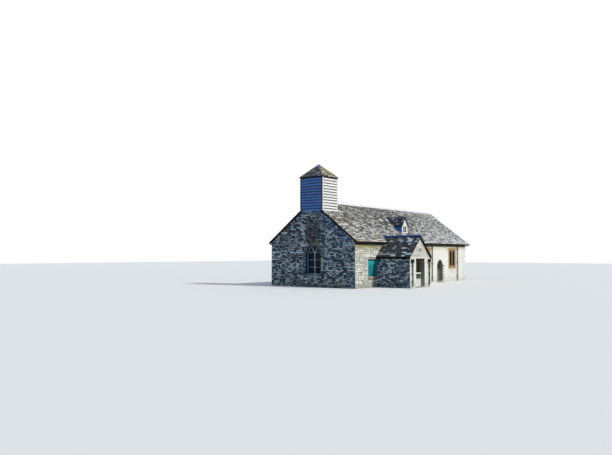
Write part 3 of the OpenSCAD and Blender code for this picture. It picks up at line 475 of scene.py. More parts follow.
# The porch's ridge slates are deep blue: painted shade of the sky.
porch_ridge_sky_shade = dressed_finish("ridge_slate_painted_sky_shade", (0.018, 0.045, 0.24), (0.02, 0.035, 0.14),
                            (0.08, 0.14, 0.36), 0.2)
brown_jamb = dressed_finish("brown_jamb_stone", (0.12, 0.08, 0.035), (0.07, 0.05, 0.02),
                            (0.30, 0.24, 0.16), 0.12)
threshold_stone = dressed_finish("pink_threshold_stone", (0.60, 0.40, 0.30), (0.48, 0.30, 0.22),
                                 (0.72, 0.60, 0.50), 0.4, lime_below=THRESHOLD_TOP)
ridge_stone = dressed_finish("ridge_stone", (0.84, 0.84, 0.87), (0.66, 0.66, 0.68),
                             (0.48, 0.47, 0.44), 0.6)
door_stone = dressed_finish("door_stone", (0.34, 0.27, 0.18), (0.24, 0.19, 0.13), lichen=0.2)
quoin_stone = dressed_finish("dark_quoin_stone", (0.13, 0.15, 0.17), (0.20, 0.23, 0.26),
                             lichen=0.15)
grey_quoin = dressed_finish("grey_quoin_stone", (0.44, 0.46, 0.47), (0.31, 0.33, 0.34),
                            lichen=0.3)
print("materials so far:", len(bpy.data.materials))

# %% [markdown]
# ## Finishes for slate
#
# Stone slates weather to a pale grey, with brown and olive growth that
# gathers in blotches a few hand-widths across. The small ones on the turret
# carry bright ochre growth near the hips; on its west and north slopes they are
# painted darker and bluer as shade. Those of the porch's west slope are painted
# blue and black as the shade of the sky, with white spots. Growth could be
# modelled, but it is a film too thin to see from the side, so it is colour alone.

# %% Growth on the slates
def nave_growth(f, colour):
    """Dark and pale dashes along the nave's courses, paler at the eaves and in the east."""
    west_end = f.fit(f.axis("X") + f.noise(0.8) * 3.0, -5.5, -0.5, 1.0, 0.0)
    low_end = f.fit(f.axis("Z") + f.noise(1.2) * 0.4, 3.30, 4.2, 1.0, 0.0)
    upper = f.fit(f.axis("Z"), 4.0, 5.2, 0.0, 0.025) * f.fit(f.axis("X"), 1.0, 5.0, 1.0, 0.3)
    dash = f.noise(1.0, 2.0, f.stretched((1.8, 5.0, 5.0)), 0.55) + upper
    dark = f.mix(west_end, (0.07, 0.07, 0.068), (0.13, 0.11, 0.06))
    pale = f.mix(west_end * low_end, (0.86, 0.86, 0.86), (0.88, 0.84, 0.68))
    colour = f.mix(f.fit(dash, 0.51, 0.57) * 0.75, colour, dark)
    colour = f.mix(f.fit(dash, 0.47, 0.40) * 0.6, colour, pale)
    colour = f.mix(low_end * 0.3, colour, pale)
    return f.mix(f.fit(f.axis("X"), 3.5, 6.0, 0.0, 0.16), colour, (0.90, 0.90, 0.89))


def hip_growth(f, colour, amount):
    """Broken ochre growth along the hips of the turret's sunny slopes."""
    hip = (f.axis("X") - turret_middle).size() * 1.10 - f.axis("Y").size()
    near = f.fit(hip.size() + f.noise(9.0, 4.0) * 0.3, 0.22, 0.34, 1.0, 0.0)
    broken = f.fit(f.noise(5.0, 6.0, rough=0.7), 0.40, 0.48)
    sunny = f.axis("X") > turret_middle + 0.05
    return f.mix(near * broken * sunny * amount, colour, (0.54, 0.48, 0.02))


print("kinds of growth:", 2)

# %% [markdown]
# Every slate has its own tint. It also carries how far a point lies from its
# tail, and the finish paints the shade that the next course casts, and a
# highlight on the worn tail. From afar this draws the lines of the courses.

# %% Finish of the slates
# Slates past a verge are painted near black, as the shade under the overhang.
VERGE = 0.035  # slates further out than this past a wall show their dark edge


def slate_finish(name, colours, growth, share, spots=(0.84, 0.85, 0.84), spot_share=0.3,
                 spot_scale=26.0, nave=0.0, hips=0.0, shaded_end=0.0):
    f = Finish(name)
    colour = f.pick(f.attribute("tint"), colours)
    grain = f.noise(30.0, 6.0)
    soiled = f.mix(0.5, colour, (0.06, 0.055, 0.045))
    colour = f.mix(f.fit(grain, 0.42, 0.72), colour, soiled)
    upwards = f.fit(f.axis("Z"), 3.3, 5.2, -0.10, 0.12)
    eastwards = f.fit(f.axis("X"), 1.0, 7.0, 0.02, -0.10)
    patch = f.noise(0.9, 7.0, rough=0.65) + (upwards + eastwards) * nave
    blotch = f.fit(patch, 0.66 - share * 0.25, 0.74 - share * 0.2)
    fine = f.fit(f.noise(12.0, 6.0), 0.38, 0.58)
    colour = f.mix(blotch * fine * 0.85, colour, growth)
    spot = f.fit(f.noise(spot_scale, 5.0, rough=0.6), 0.58, 0.64) * spot_share
    colour = f.mix(spot, colour, spots)
    if nave:
        colour = nave_growth(f, colour)
    # Painted shade: slates past the west verge and the porch's east verge are near black.
    porch_verge_shade = (f.axis("Y") < porch_low.y - VERGE) * (f.axis("X") > porch_mid)
    verge_shade = (f.axis("X") < west - VERGE) + porch_verge_shade
    colour = f.mix(verge_shade * 0.9, colour, (0.02, 0.02, 0.022))
    if shaded_end:
        far = f.fit(f.axis("Y") + f.noise(1.5) * 0.8, -5.2, -4.1) * shaded_end
        colour = f.mix(far, colour, f.mix(0.75, colour, (0.035, 0.042, 0.032)))
    # Painted shade under the next course, and a painted highlight on the worn tail.
    course = f.attribute("rise")
    colour = f.mix(f.fit(course, 0.30, 0.50, 0.0, 0.9), colour, (0.015, 0.015, 0.014))
    tail = f.mix(0.5, colour, (0.85, 0.85, 0.82))
    colour = f.mix(f.fit(course, 0.0, 0.10, 0.35, 0.0), colour, tail)
    if nave:
        edge = f.mix(f.fit(grain, 0.4, 0.6), (0.84, 0.84, 0.84), (0.50, 0.50, 0.49))
        colour = f.mix(f.axis("X") > east + 0.36, colour, edge)
    if hips:
        colour = hip_growth(f, colour, hips)
    return f.done(colour, f.fit(grain, 0.3, 0.7, 0.78, 0.95),
                  grain + f.noise(90.0, 3.0) * 0.4, 0.008, 0.8)


print("slate finish ready")

# %% [markdown]
# The colours of the slates run from nearly black to nearly white, so that
# neighbours differ. The west slopes of the porch and the dormer are blue and
# black, as painted shade of the sky. Under all of them lies the roof's own
# solid. It could have the same finish, but through a gap between slates a real
# roof looks dark, so it is painted near black as shade, like old boards.

# %% The colours of the slates
main_slate = slate_finish("main_slates", [
    (0.05, 0.045, 0.035), (0.50, 0.50, 0.47), (0.16, 0.15, 0.13), (0.84, 0.85, 0.84),
    (0.26, 0.255, 0.23), (0.66, 0.66, 0.64), (0.09, 0.08, 0.065), (0.90, 0.91, 0.91)],
    (0.10, 0.085, 0.05), 0.5, spot_share=0.4, nave=1.0)
# The porch's west slope: blue and black, the painted shade of the sky.
porch_west_slate_sky_shade = slate_finish("dark_slates", [
    (0.006, 0.008, 0.014), (0.03, 0.05, 0.085), (0.010, 0.014, 0.024), (0.64, 0.84, 1.0),
    (0.015, 0.024, 0.04), (0.08, 0.14, 0.24), (0.90, 1.0, 1.0), (0.010, 0.013, 0.02),
    (0.62, 0.84, 1.0)],
    (0.020, 0.028, 0.040), 0.2, (0.80, 0.96, 1.0), 0.55, 9.0, shaded_end=0.75)
# The dormer's west slope: blue and black, the painted shade of the sky.
dormer_west_slate_sky_shade = slate_finish("dark_dormer_slates", [
    (0.008, 0.010, 0.018), (0.03, 0.045, 0.08), (0.014, 0.018, 0.03), (0.34, 0.44, 0.60),
    (0.02, 0.03, 0.05), (0.16, 0.23, 0.34)],
    (0.03, 0.03, 0.026), 0.25, (0.46, 0.52, 0.80), 0.3, 9.0)
# The turret's west and north slopes: a darker, bluer copy of the sunny slates, as painted shade.
turret_slate = slate_finish("turret_slates", [
    (0.03, 0.04, 0.055), (0.17, 0.21, 0.26), (0.07, 0.09, 0.11), (0.34, 0.40, 0.46),
    (0.10, 0.105, 0.10)],
    (0.12, 0.10, 0.07), 0.3, (0.42, 0.46, 0.46), 0.3)
sunny_turret_slate = slate_finish("sunny_turret_slates", [
    (0.10, 0.085, 0.06), (0.56, 0.53, 0.44), (0.17, 0.15, 0.10), (0.80, 0.78, 0.70),
    (0.30, 0.26, 0.16)],
    (0.34, 0.28, 0.06), 0.4, (0.66, 0.60, 0.40), 0.4, hips=0.95)


def roof_underside_shade_finish():
    """The underside and edge of a roof: boards and battens, painted near black as shade under the
    slates.
    """
    f = Finish("roof_boards_painted_shade")
    board = f.noise(1.0, 5.0, f.stretched((3.0, 40.0, 40.0)))
    colour = f.mix(f.fit(board, 0.35, 0.65), (0.012, 0.011, 0.011), (0.040, 0.034, 0.028))
    return f.done(colour, 0.92, board, 0.004, 0.6, Specular_IOR_Level=0.06)


roof_underside_shade = roof_underside_shade_finish()
print("materials so far:", len(bpy.data.materials))

# %% [markdown]
# ## Finishes for wood, iron, lead and glass
#
# Painted wood is a wood grain that shows faintly through the coat, with dirt
# below and bare spots above. One maker takes the paint's colour and how much
# of it is lost. The grain runs along one axis, so the stretch of its noise
# is chosen for each piece: a picture of wood would need unwrapped pieces.

# %% Finish of wood
# Up to this height the bars between the gate's rails are a darker grey.
GATE_PANEL = 0.93  # over this height the gate is painted again


def wood_finish(name, paint, bare=(0.30, 0.25, 0.20), lost=0.25, along="Z", gloss=0.6,
                tinted=0.0, lap_shade=0.0, west_shade_paint=None, sky_lit_jamb=False, painted_top_light=None,
                top_light_from=1.62, grey_bars_from=0.0):
    f = Finish(name)
    scale = [60.0, 60.0, 60.0]
    scale["XYZ".index(along)] = 3.5
    grain = f.noise(1.0, 6.0, f.stretched(scale), 0.6)
    # Painted shade: faces on the west side take the blue of the sky's shade.
    if west_shade_paint:
        paint = f.mix(f.axis("X") < west + FACE, paint, west_shade_paint)
    # Painted sky light: one jamb of the west window is a brighter blue.
    if sky_lit_jamb:
        paint = f.mix((f.axis("Y") > 0.36) * (f.axis("X") < 0.0), paint, (0.14, 0.44, 1.0))
    # Painted light: above a height the paint takes another colour, paler for sunlight on the teal
    # door and darker for the shade of the arch on the priest's door.
    if painted_top_light:
        height = f.axis("Z") + f.noise(3.0, 5.0) * 0.3
        paint = f.mix(f.fit(height, top_light_from, top_light_from + 0.24), paint, painted_top_light)
    # The bars between the rails are a darker grey.
    if grey_bars_from:
        bars = (f.axis("Z") > grey_bars_from) * (f.axis("Z") < GATE_PANEL)
        paint = f.mix(bars, paint, (0.32, 0.32, 0.30))
    dirt = f.fit(f.noise(4.0, 7.0), 0.45, 0.68)
    dark = f.mix(0.6, paint, (0.05, 0.05, 0.05))
    colour = f.mix(dirt * 0.3, paint, dark)
    if tinted:
        colour = f.mix(f.attribute("tint") * tinted, colour, dark)
    gone = f.fit(grain + f.noise(5.0, 5.0) * 0.6, 1.02 - lost * 0.55, 1.14 - lost * 0.4)
    colour = f.mix(gone, colour, bare)
    # Painted shade: a dark band at the top of each board, under the lap above.
    if lap_shade:
        course = f.attribute("rise") + f.noise(6.0, 4.0) * 0.12
        shade = f.mix(0.08, (0.03, 0.028, 0.03), paint)
        colour = f.mix(f.fit(course, 0.54, 0.62) * lap_shade, colour, shade)
    return f.done(colour, f.fit(gone, 0.0, 1.0, gloss, 0.95), grain, 0.004, 0.6)


print("wood finish ready")

# %% [markdown]
# The turret's boards are white, and the low side door is teal. The turret's
# west boards, the dormer's west cheek and the sashes are painted blue as the
# shade of the sky, and the side door's top is painted paler as sunlight. Oak and
# old doors could have a finish of their own, but they are the same wood with
# dark colours and more of the coat lost.

# %% The paints and the bare wood
# The first colour is white paint in the painted blue shade of the sky.
BLUE_SKY_SHADE, WHITE_PAINT, WHITE_BARE = (0.12, 0.32, 0.80), (0.80, 0.80, 0.78), (0.50, 0.48, 0.45)
board_paint = wood_finish("white_boards", (0.98, 0.97, 0.96), (0.46, 0.43, 0.40), 0.18, "X",
                          tinted=0.10, lap_shade=0.95, west_shade_paint=BLUE_SKY_SHADE)
# The turret's west boards: white paint, painted blue as the shade of the sky.
west_boards_sky_shade = wood_finish("white_boards_painted_sky_shade", BLUE_SKY_SHADE, (0.05, 0.09, 0.20), 0.25, "Y",
                         tinted=0.35, lap_shade=0.9)
# The dormer's west cheek: white boards painted blue as the shade of the sky.
cheek_sky_shade = wood_finish("cheek_boards_painted_sky_shade", (0.03, 0.21, 0.88), (0.03, 0.07, 0.25), 0.2, "Y",
                          tinted=0.3)
# The corner boards are painted near black on the turret's west side, as shade.
corner_paint = wood_finish("white_corner_boards", (0.80, 0.80, 0.79), WHITE_BARE, 0.2,
                           west_shade_paint=(0.02, 0.035, 0.10))
dormer_paint = wood_finish("white_dormer_paint", WHITE_PAINT, WHITE_BARE, 0.2)
# Sashes: white paint painted pale blue as the shade of the sky.
sash_paint_sky_shade = wood_finish("window_paint_painted_sky_shade", (0.50, 0.68, 0.86), (0.30, 0.38, 0.46), 0.2,
                         sky_lit_jamb=True)
# The teal door's upper part is painted paler, as sunlight.
teal_paint = wood_finish("teal_door_paint", (0.003, 0.25, 0.29), (0.03, 0.14, 0.15), 0.25,
                         tinted=0.35, painted_top_light=(0.015, 0.52, 0.55))
gate_paint = wood_finish("gate_paint", (0.86, 0.86, 0.84), (0.40, 0.38, 0.34), 0.35,
                         tinted=0.3, grey_bars_from=0.56)
door_wood = wood_finish("brown_door_wood", (0.034, 0.027, 0.018), (0.05, 0.04, 0.03), 0.3,
                        tinted=0.4)
# The priest's door is painted near black at the top, as the shade of its arch.
old_wood = wood_finish("old_door_wood", (0.27, 0.21, 0.14), (0.30, 0.24, 0.17), 0.3,
                       tinted=0.3, painted_top_light=(0.05, 0.055, 0.012), top_light_from=1.05)
beam_oak = wood_finish("old_oak", (0.30, 0.20, 0.12), (0.20, 0.15, 0.10), 0.5, "Y", 0.8)
# A black board at the porch's east verge: a dark piece for the shade under the overhang.
verge_shade_paint = wood_finish("black_verge_shade_paint", (0.010, 0.010, 0.011), (0.05, 0.045, 0.04),
                          0.2, "Y")
print("materials so far:", len(bpy.data.materials))

# %% [markdown]
# Iron rusts in patches, lead is blue with pale stains, and old glass is never
# flat. Each pane stands a little out of true, so that each mirrors another
# part of the light. Single panes with their own angle could be modelled, but
# a brick pattern without joints, read as a height, does the same on one sheet.

# %% Finish of iron, lead and glass
def iron_finish(name, colour, rust=0.25, gloss=0.45, black_south=None, shine=0.2):
    f = Finish(name)
    if black_south:
        colour = f.mix(f.axis("Y") < black_south, colour, (0.018, 0.018, 0.020))
    patch = f.fit(f.noise(14.0, 8.0, rough=0.7), 0.66 - rust * 0.3, 0.72 - rust * 0.2)
    mixed = f.mix(patch * 0.8, colour, (0.16, 0.07, 0.035))
    return f.done(mixed, f.fit(patch, 0.0, 1.0, gloss, 0.9),
                  f.noise(60.0, 4.0) + patch * 0.5, 0.002, 0.5, Specular_IOR_Level=shine)


def lead_finish():
    f = Finish("lead_sheet")
    stain = f.noise(7.0, 6.0)
    colour = f.mix(f.fit(stain, 0.35, 0.65), (0.05, 0.16, 0.60), (0.12, 0.26, 0.66))
    return f.done(colour, 0.6, stain, 0.006, 0.4)


def glass_finish():
    f = Finish("old_glass")
    across_and_up = f.node("CombineXYZ", inputs={0: f.axis("X") + f.axis("Y"), 1: f.axis("Z")})
    panes = f.node("TexBrick", {"offset": 0.0}, {
        "Vector": across_and_up, "Scale": 1.0, "Brick Width": 0.14, "Row Height": 0.18,
        "Mortar Size": 0.0, "Color1": (0.0, 0.0, 0.0, 1), "Color2": (1.0, 1.0, 1.0, 1)})
    colour = f.mix(panes, (0.004, 0.006, 0.008), (0.010, 0.018, 0.022))
    wave = f.noise(6.0, 2.0) + panes * 0.35
    return f.done(colour, 0.08, wave, 0.02, 0.25, IOR=1.45, Specular_IOR_Level=0.14)


cast_iron = iron_finish("black_cast_iron", (0.004, 0.004, 0.005), 0.05, 0.8, shine=0.06)
pipe_iron = iron_finish("brown_painted_iron", (0.075, 0.042, 0.022), 0.3, 0.7,
                        black_south=porch_low.y + 0.5)
strap_iron = iron_finish("black_strap_iron", (0.028, 0.026, 0.025), 0.35, 0.55)
came = iron_finish("grey_lead_cames", (0.07, 0.075, 0.08), 0.0, 0.6, shine=0.12)
lead_sheet, old_glass = lead_finish(), glass_finish()
print("materials so far:", len(bpy.data.materials))

# %% [markdown]
# The floors are worn flagstones, seen only through the doorways, so their
# joints come from a brick pattern instead of single stones. The surround of
# the side door is limewashed like the wall, but its jamb beside the porch is
# painted like the door.

# %% Finish of the paving and of the side door's surround
def paving_finish():
    f = Finish("worn_paving")
    flags = f.node("TexBrick", {"offset": 0.4, "squash": 0.8, "squash_frequency": 3}, {
        "Vector": f.place(), "Scale": 1.0, "Brick Width": 0.75, "Row Height": 0.5,
        "Mortar Size": 0.012, "Color1": (0.34, 0.33, 0.30, 1), "Color2": (0.24, 0.24, 0.22, 1),
        "Mortar": (0.12, 0.11, 0.10, 1)})
    joint = Value(f, flags.socket.node.outputs[1])
    wear = f.noise(8.0, 7.0)
    colour = f.mix(f.fit(wear, 0.3, 0.7), flags, f.mix(0.4, flags, (0.45, 0.43, 0.38)))
    return f.done(colour, 0.8, wear * 0.4 - joint, 0.01, 0.6)


def side_surround_finish():
    f = Finish("side_door_surround")
    grit = f.noise(40.0, 5.0)
    wash = f.mix(f.fit(grit, 0.4, 0.65), (0.72, 0.71, 0.62), (0.50, 0.48, 0.40))
    teal = f.mix(f.fit(grit, 0.3, 0.7), (0.008, 0.25, 0.28), (0.02, 0.16, 0.18))
    colour = f.mix(f.axis("X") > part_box("side_door_leaf")[1].x - 0.1, wash, teal)
    return f.done(colour, 0.8, grit, 0.004, 0.6)


paving, side_surround = paving_finish(), side_surround_finish()
print("materials so far:", len(bpy.data.materials))

# %% [markdown]
# Now every solid gets its finish. A list of solids for each finish is shorter
# than a line for each solid, and shows what is made alike. The mesh of a
# solid is never touched: a finish on its only material slot is enough.

# %% Give the solids their finishes
finished_solids = {
    paving: "nave_floor porch_floor",
    west_mortar: "west_wall",
    north_mortar: "east_wall north_wall",
    south_mortar: "south_wall_west south_wall_middle south_wall_east doorway_heads "
                  "priest_door_surround",
    porch_mortar: "porch_walls porch_gable",
    side_surround: "side_door_surround",
    threshold_stone: "door_sills",
    pale_stone: "porch_lintel",
    surround_stone: "side_window_frames",
    ridge_stone: "nave_ridge",
    porch_ridge_sky_shade: "porch_ridge",
    roof_underside_shade: "nave_roof_south nave_roof_north turret_roof dormer_roof "
               "porch_roof_west porch_roof_east",
    beam_oak: "tie_beams turret_frame",
    corner_paint: "turret_boarding turret_corner_boards",
    dormer_paint: "dormer_walls dormer_window",
    sash_paint_sky_shade: "gable_window_frames",
    door_wood: "main_door_leaf",
    old_wood: "priest_door_leaf",
    teal_paint: "side_door_leaf",
    gate_paint: "porch_gate_leaf",
    lead_sheet: "turret_cap",
    old_glass: "window_glass",
    cast_iron: "gutters",
    pipe_iron: "downpipes",
    strap_iron: "door_pintles priest_door_straps side_door_straps porch_gate_straps"}
solid_finish = {name: finish for finish, names in finished_solids.items() for name in names.split()}
for name, node in frame["nodes"].items():
    node.data.materials.clear()
    node.data.materials.append(solid_finish[name])
print("finished solids:", len(solid_finish))

# %% [markdown]
# ## Many stones from a few
#
# The walls hold thousands of stones. Modelling each one is out of the
# question, and one stone copied thousands of times would show. So a handful
# of different stones, slates and boards is modelled once, each in a box one
# unit wide, and their corners wander by chance.

# %% Model the stones to copy
rng = random.Random(41)


def make_template(name, bm, rise_along=2):
    """Ends a template. Its attribute rise goes from 0 to 1 along one axis of its unit box."""
    mesh = bpy.data.meshes.new(name)
    bmesh.ops.recalc_face_normals(bm, faces=bm.faces)
    bm.to_mesh(mesh)
    bm.free()
    rise = mesh.attributes.new("rise", "FLOAT", "POINT").data
    for item, v in zip(rise, mesh.vertices):
        item.value = v.co[rise_along] + 0.5
    return bpy.data.objects.new(name, mesh)


def bevel(bm, edges, offset):
    bmesh.ops.bevel(bm, geom=edges, offset=offset, segments=1, affect="EDGES", profile=0.5,
                    material=-1)


def worn_cube(offset, wander):
    """A cube with bevelled edges, whose corners wander by up to wander along each axis."""
    bm = bmesh.new()
    bmesh.ops.create_cube(bm, size=1.0)
    bevel(bm, bm.edges[:], offset)
    for v in bm.verts:
        v.co += Vector([rng.uniform(-w, w) for w in wander])
    return bm


def rubble_template(index):
    """A rough block. Its front looks along -Y and its back, which no one sees, is left off."""
    bm = worn_cube(0.13, (0.045, 0.06, 0.06))
    for v in bm.verts:
        v.co.x = max(-0.5, min(0.5, v.co.x))
        v.co.z = max(-0.5, min(0.5, v.co.z))
    behind = [face for face in bm.faces if face.calc_center_median().y > 0.3]
    bmesh.ops.delete(bm, geom=behind, context="FACES")
    return make_template(f"rubble_{index}", bm)


def as_collection(name, objects):
    group = bpy.data.collections.new(name)
    for obj in objects:
        group.objects.link(obj)
    return group


rubble_stones = as_collection("rubble_stones", [rubble_template(i) for i in range(10)])

# %% [markdown]
# A slate is a thin block with a chipped tail, and a board is a long one that
# was never quite straight. Both could be flat planes, but at the eaves and
# corners their thickness shows. A board is divided along its length first,
# so that its edges have points that can wander.

# %% Model the slates and boards to copy
def slate_template(index):
    """A thin stone slate. Its tail is at -Y, and its corners are chipped."""
    bm = bmesh.new()
    bmesh.ops.create_cube(bm, size=1.0)
    tail = [e for e in bm.edges if all(v.co.y < 0 for v in e.verts)
            and abs(e.verts[0].co.x - e.verts[1].co.x) < 0.1]
    bevel(bm, tail, rng.uniform(0.03, 0.12))
    for v in bm.verts:
        v.co.x += rng.uniform(-0.03, 0.03)
        if v.co.y < 0:
            v.co.y += rng.uniform(0.0, 0.05)
            v.co.z += rng.uniform(-0.12, 0.12)
    return make_template(f"slate_{index}", bm, rise_along=1)


def board_template(index):
    """A sawn board, lying along X, whose edges wander a little."""
    bm = bmesh.new()
    bmesh.ops.create_cube(bm, size=1.0)
    long_edges = [e for e in bm.edges if abs(e.verts[0].co.x - e.verts[1].co.x) > 0.5]
    bmesh.ops.subdivide_edges(bm, edges=long_edges, cuts=5, use_grid_fill=True)
    for v in bm.verts:
        v.co.z += rng.uniform(-0.018, 0.018)
        v.co.y += rng.uniform(-0.10, 0.10)
    return make_template(f"board_{index}", bm)


slates = as_collection("slates", [slate_template(i) for i in range(8)])
boards = as_collection("boards", [board_template(i) for i in range(5)])

# %% [markdown]
# Geometry Nodes puts a copy on every point of a plan, stretched to the size
# that the plan gives. The plan is a cloud of points, each with a size, a turn,
# a kind and a tint, and the tree reads those attributes. A Python loop could
# join the copies too, but it takes minutes where the tree takes seconds.

# %% The node tree that lays a plan
def laying_tree(group):
    tree = bpy.data.node_groups.new("lay_" + group.name, "GeometryNodeTree")
    for way in ("INPUT", "OUTPUT"):
        tree.interface.new_socket("Geometry", in_out=way, socket_type="NodeSocketGeometry")
    add = tree.nodes.new
    start, end = add("NodeGroupInput"), add("NodeGroupOutput")
    source = add("GeometryNodeCollectionInfo")
    source.inputs["Collection"].default_value = group
    source.inputs["Separate Children"].default_value = True
    source.inputs["Reset Children"].default_value = True
    copies, real = add("GeometryNodeInstanceOnPoints"), add("GeometryNodeRealizeInstances")
    copies.inputs["Pick Instance"].default_value = True
    tree.links.new(start.outputs[0], copies.inputs["Points"])
    tree.links.new(source.outputs[0], copies.inputs["Instance"])
    for attribute, kind, socket in (("kind", "INT", "Instance Index"),
                                    ("turn", "FLOAT_VECTOR", "Rotation"),
                                    ("size", "FLOAT_VECTOR", "Scale")):
        read = add("GeometryNodeInputNamedAttribute")
        read.data_type = kind
        read.inputs["Name"].default_value = attribute
        tree.links.new(read.outputs["Attribute"], copies.inputs[socket])
    tree.links.new(copies.outputs[0], real.inputs[0])
    tree.links.new(real.outputs[0], end.inputs[0])
    return tree


lay_rubble, lay_slates, lay_boards = (laying_tree(g) for g in (rubble_stones, slates, boards))
print("laying trees:", len(bpy.data.node_groups))

# %% [markdown]
# The result of the tree is stored as a plain mesh, so that nothing is left to
# work out when the chapel is exported. Where a roof's slope or hip ends a
# wall or a slated side, planes trim the laid pieces as a saw would.

# %% Lay a plan and finish it
def finish_piece(piece, finish, slot, body="chapel", replaces=()):
    piece.data.materials.clear()
    piece.data.materials.append(finish)
    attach(piece, body)
    if replaces:
        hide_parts(*replaces)
    print(piece.name, "faces:", len(piece.data.polygons))
    return piece


def trim(mesh, cuts):
    """cuts: planes, each a point and an outward normal."""
    bm = bmesh.new()
    bm.from_mesh(mesh)
    for point, normal in cuts:
        cut = bmesh.ops.bisect_plane(bm, geom=bm.verts[:] + bm.edges[:] + bm.faces[:],
                                     dist=1e-5, plane_co=point, plane_no=normal,
                                     clear_outer=True)
        rim = [e for e in cut["geom_cut"] if isinstance(e, bmesh.types.BMEdge)]
        bmesh.ops.holes_fill(bm, edges=rim, sides=0)
    bm.to_mesh(mesh)
    bm.free()


def lay(name, plan, tree, finish, slot, replaces=(), cuts=()):
    """plan: (place, turn, size) for each copy. cuts trims the result."""
    mesh = bpy.data.meshes.new(name)
    mesh.from_pydata([tuple(place) for place, turn, size in plan], [], [])
    kinds = len(tree.nodes["Collection Info"].inputs["Collection"].default_value.objects)
    for attribute, kind, field, values in (
            ("size", "FLOAT_VECTOR", "vector", [tuple(size) for place, turn, size in plan]),
            ("turn", "FLOAT_VECTOR", "vector", [tuple(turn) for place, turn, size in plan]),
            ("kind", "INT", "value", [rng.randrange(kinds) for _ in plan]),
            ("tint", "FLOAT", "value", [rng.random() for _ in plan])):
        data = mesh.attributes.new(attribute, kind, "POINT").data
        for item, given in zip(data, values):
            setattr(item, field, given)
    piece = bpy.data.objects.new(name, mesh)
    bpy.context.scene.collection.objects.link(piece)
    piece.modifiers.new("lay", "NODES").node_group = tree
    ready = bpy.context.evaluated_depsgraph_get()
    laid = bpy.data.meshes.new_from_object(piece.evaluated_get(ready))
    piece.modifiers.clear()
    piece.data = laid
    for extra in ("size", "turn", "kind"):
        if extra in laid.attributes:
            laid.attributes.remove(laid.attributes[extra])
    if cuts:
        trim(laid, cuts)
    return finish_piece(piece, finish, slot, replaces=replaces)


print("ready to lay")

# %% [markdown]
# ## Rubble walls
#
# Every wall, roof slope and row of boards is planned along its own direction,
# as it is seen from outside. It could be planned flat and turned afterwards,
# but then no opening would be where it really is. The lengths are drawn by
# chance, and the last one takes up a rest that would be too short to lay.

# %% Directions, lengths and layers
HEADINGS = {"south": 0.0, "east": math.pi / 2, "north": math.pi, "west": -math.pi / 2}
STONE_DEPTH = 0.06


def wall_frame(side):
    """A side's heading, and the directions along its wall and out of it, from outside."""
    heading = HEADINGS[side]
    along = Vector((math.cos(heading), math.sin(heading), 0))
    return heading, along, Vector((math.sin(heading), -math.cos(heading), 0))


def lengths_along(start, end, draw, least, stop=0.01):
    """Cuts start..end into lengths by chance. A rest shorter than least joins the last one."""
    at = start
    while at < end - stop:
        length = min(draw(), end - at)
        if end - at - length < least:
            length = end - at
        yield at, length
        at += length


def layer_heights(rise, layer):
    """Heights that cut a patch into uneven layers."""
    count = max(1, round(rise / (layer * rng.uniform(0.7, 1.7))))
    return sorted([0.0, rise] + [rise * (i + rng.uniform(-0.22, 0.22)) / count
                                 for i in range(1, count)])


def clear_spans(left, right, holes):
    """The parts of left..right that no hole covers."""
    spans = [(left, right)]
    for a, b in holes:
        spans = [piece for l, r in spans for piece in ((l, min(r, a)), (max(l, b), r))
                 if piece[1] - piece[0] > 0.035]
    return spans


print("sides:", list(HEADINGS))

# %% [markdown]
# A mason fills a wall in lifts. Inside each lift the stones change height
# from place to place: here one tall block, there three thin ones. A regular
# grid that is shaken would never look like this. So the plan works as the
# mason does: lifts are cut into patches, patches into layers, and layers
# into stones.

# %% Plan a rubble wall
def rubble_plan(side, corner, length, high, holes=lambda z0, z1: [], layer=0.09,
                relief=0.022, joint=0.020, shape=(1.1, 3.2), outline=None):
    """Stones of a wall face. corner is its left lower corner as seen from outside."""
    heading, along, out = wall_frame(side)
    plan = []

    def stone(x, size, z0, z1):
        proud = relief * rng.uniform(0.15, 1.0)
        place = corner + along * (x + size / 2) + out * (proud - STONE_DEPTH / 2)
        place.z = (z0 + z1) / 2
        turn = (rng.uniform(-0.03, 0.03), rng.uniform(-0.025, 0.025),
                heading + rng.uniform(-0.02, 0.02))
        gap = joint * rng.uniform(0.6, 1.5)
        plan.append((place, turn, (size - gap, STONE_DEPTH, max(0.02, z1 - z0 - gap))))

    for z, rise in lengths_along(0.0, high, lambda: rng.uniform(0.18, 0.32), 0.08, 0.02):
        for u, width in lengths_along(0.0, length, lambda: rng.uniform(0.35, 1.1), 0.2, 0.0):
            heights = layer_heights(rise, layer)
            for z0, z1 in ((z + low, z + top) for low, top in zip(heights, heights[1:])):
                for left, right in clear_spans(u, u + width, holes(z0, z1)):
                    for x, size in lengths_along(
                            left, right, lambda: (z1 - z0) * rng.uniform(*shape) + 0.03, 0.07):
                        if outline is None or outline(x, x + size, z0):
                            stone(x, size, z0, z1)
    return plan


print("rubble planner ready")

# %% [markdown]
# An opening is taken out of each layer before it is filled, so a stone ends
# beside it, as a mason would end it. A boolean cut through the laid stones
# would leave slivers. A pointed head takes less of each layer as it rises.

# %% Openings in a plan
def hole_between(left, right, low, high, crown=0.0):
    """An opening for rubble_plan: square, or with a pointed head that rises by crown."""
    def spans(z0, z1):
        if z1 <= low or z0 >= high + crown:
            return []
        if crown and z0 > high:
            share = math.sqrt(max(0.0, 1 - ((z0 - high) / crown) ** 1.7))
            half, middle = (right - left) / 2, (left + right) / 2
            return [(middle - half * share, middle + half * share)]
        return [(left, right)]
    return spans


def all_holes(*makers):
    return lambda z0, z1: sorted(span for make in makers for span in make(z0, z1))


print("openings ready")

# %% [markdown]
# A gable is a wall with two slanted edges. A triangle could be planned, but a
# full wall keeps its courses level up to the edge: the planner leaves out the
# stones over the rake, and two planes trim those that cross it. Both gables
# have the same pointed window; the west one is a little south of the middle.

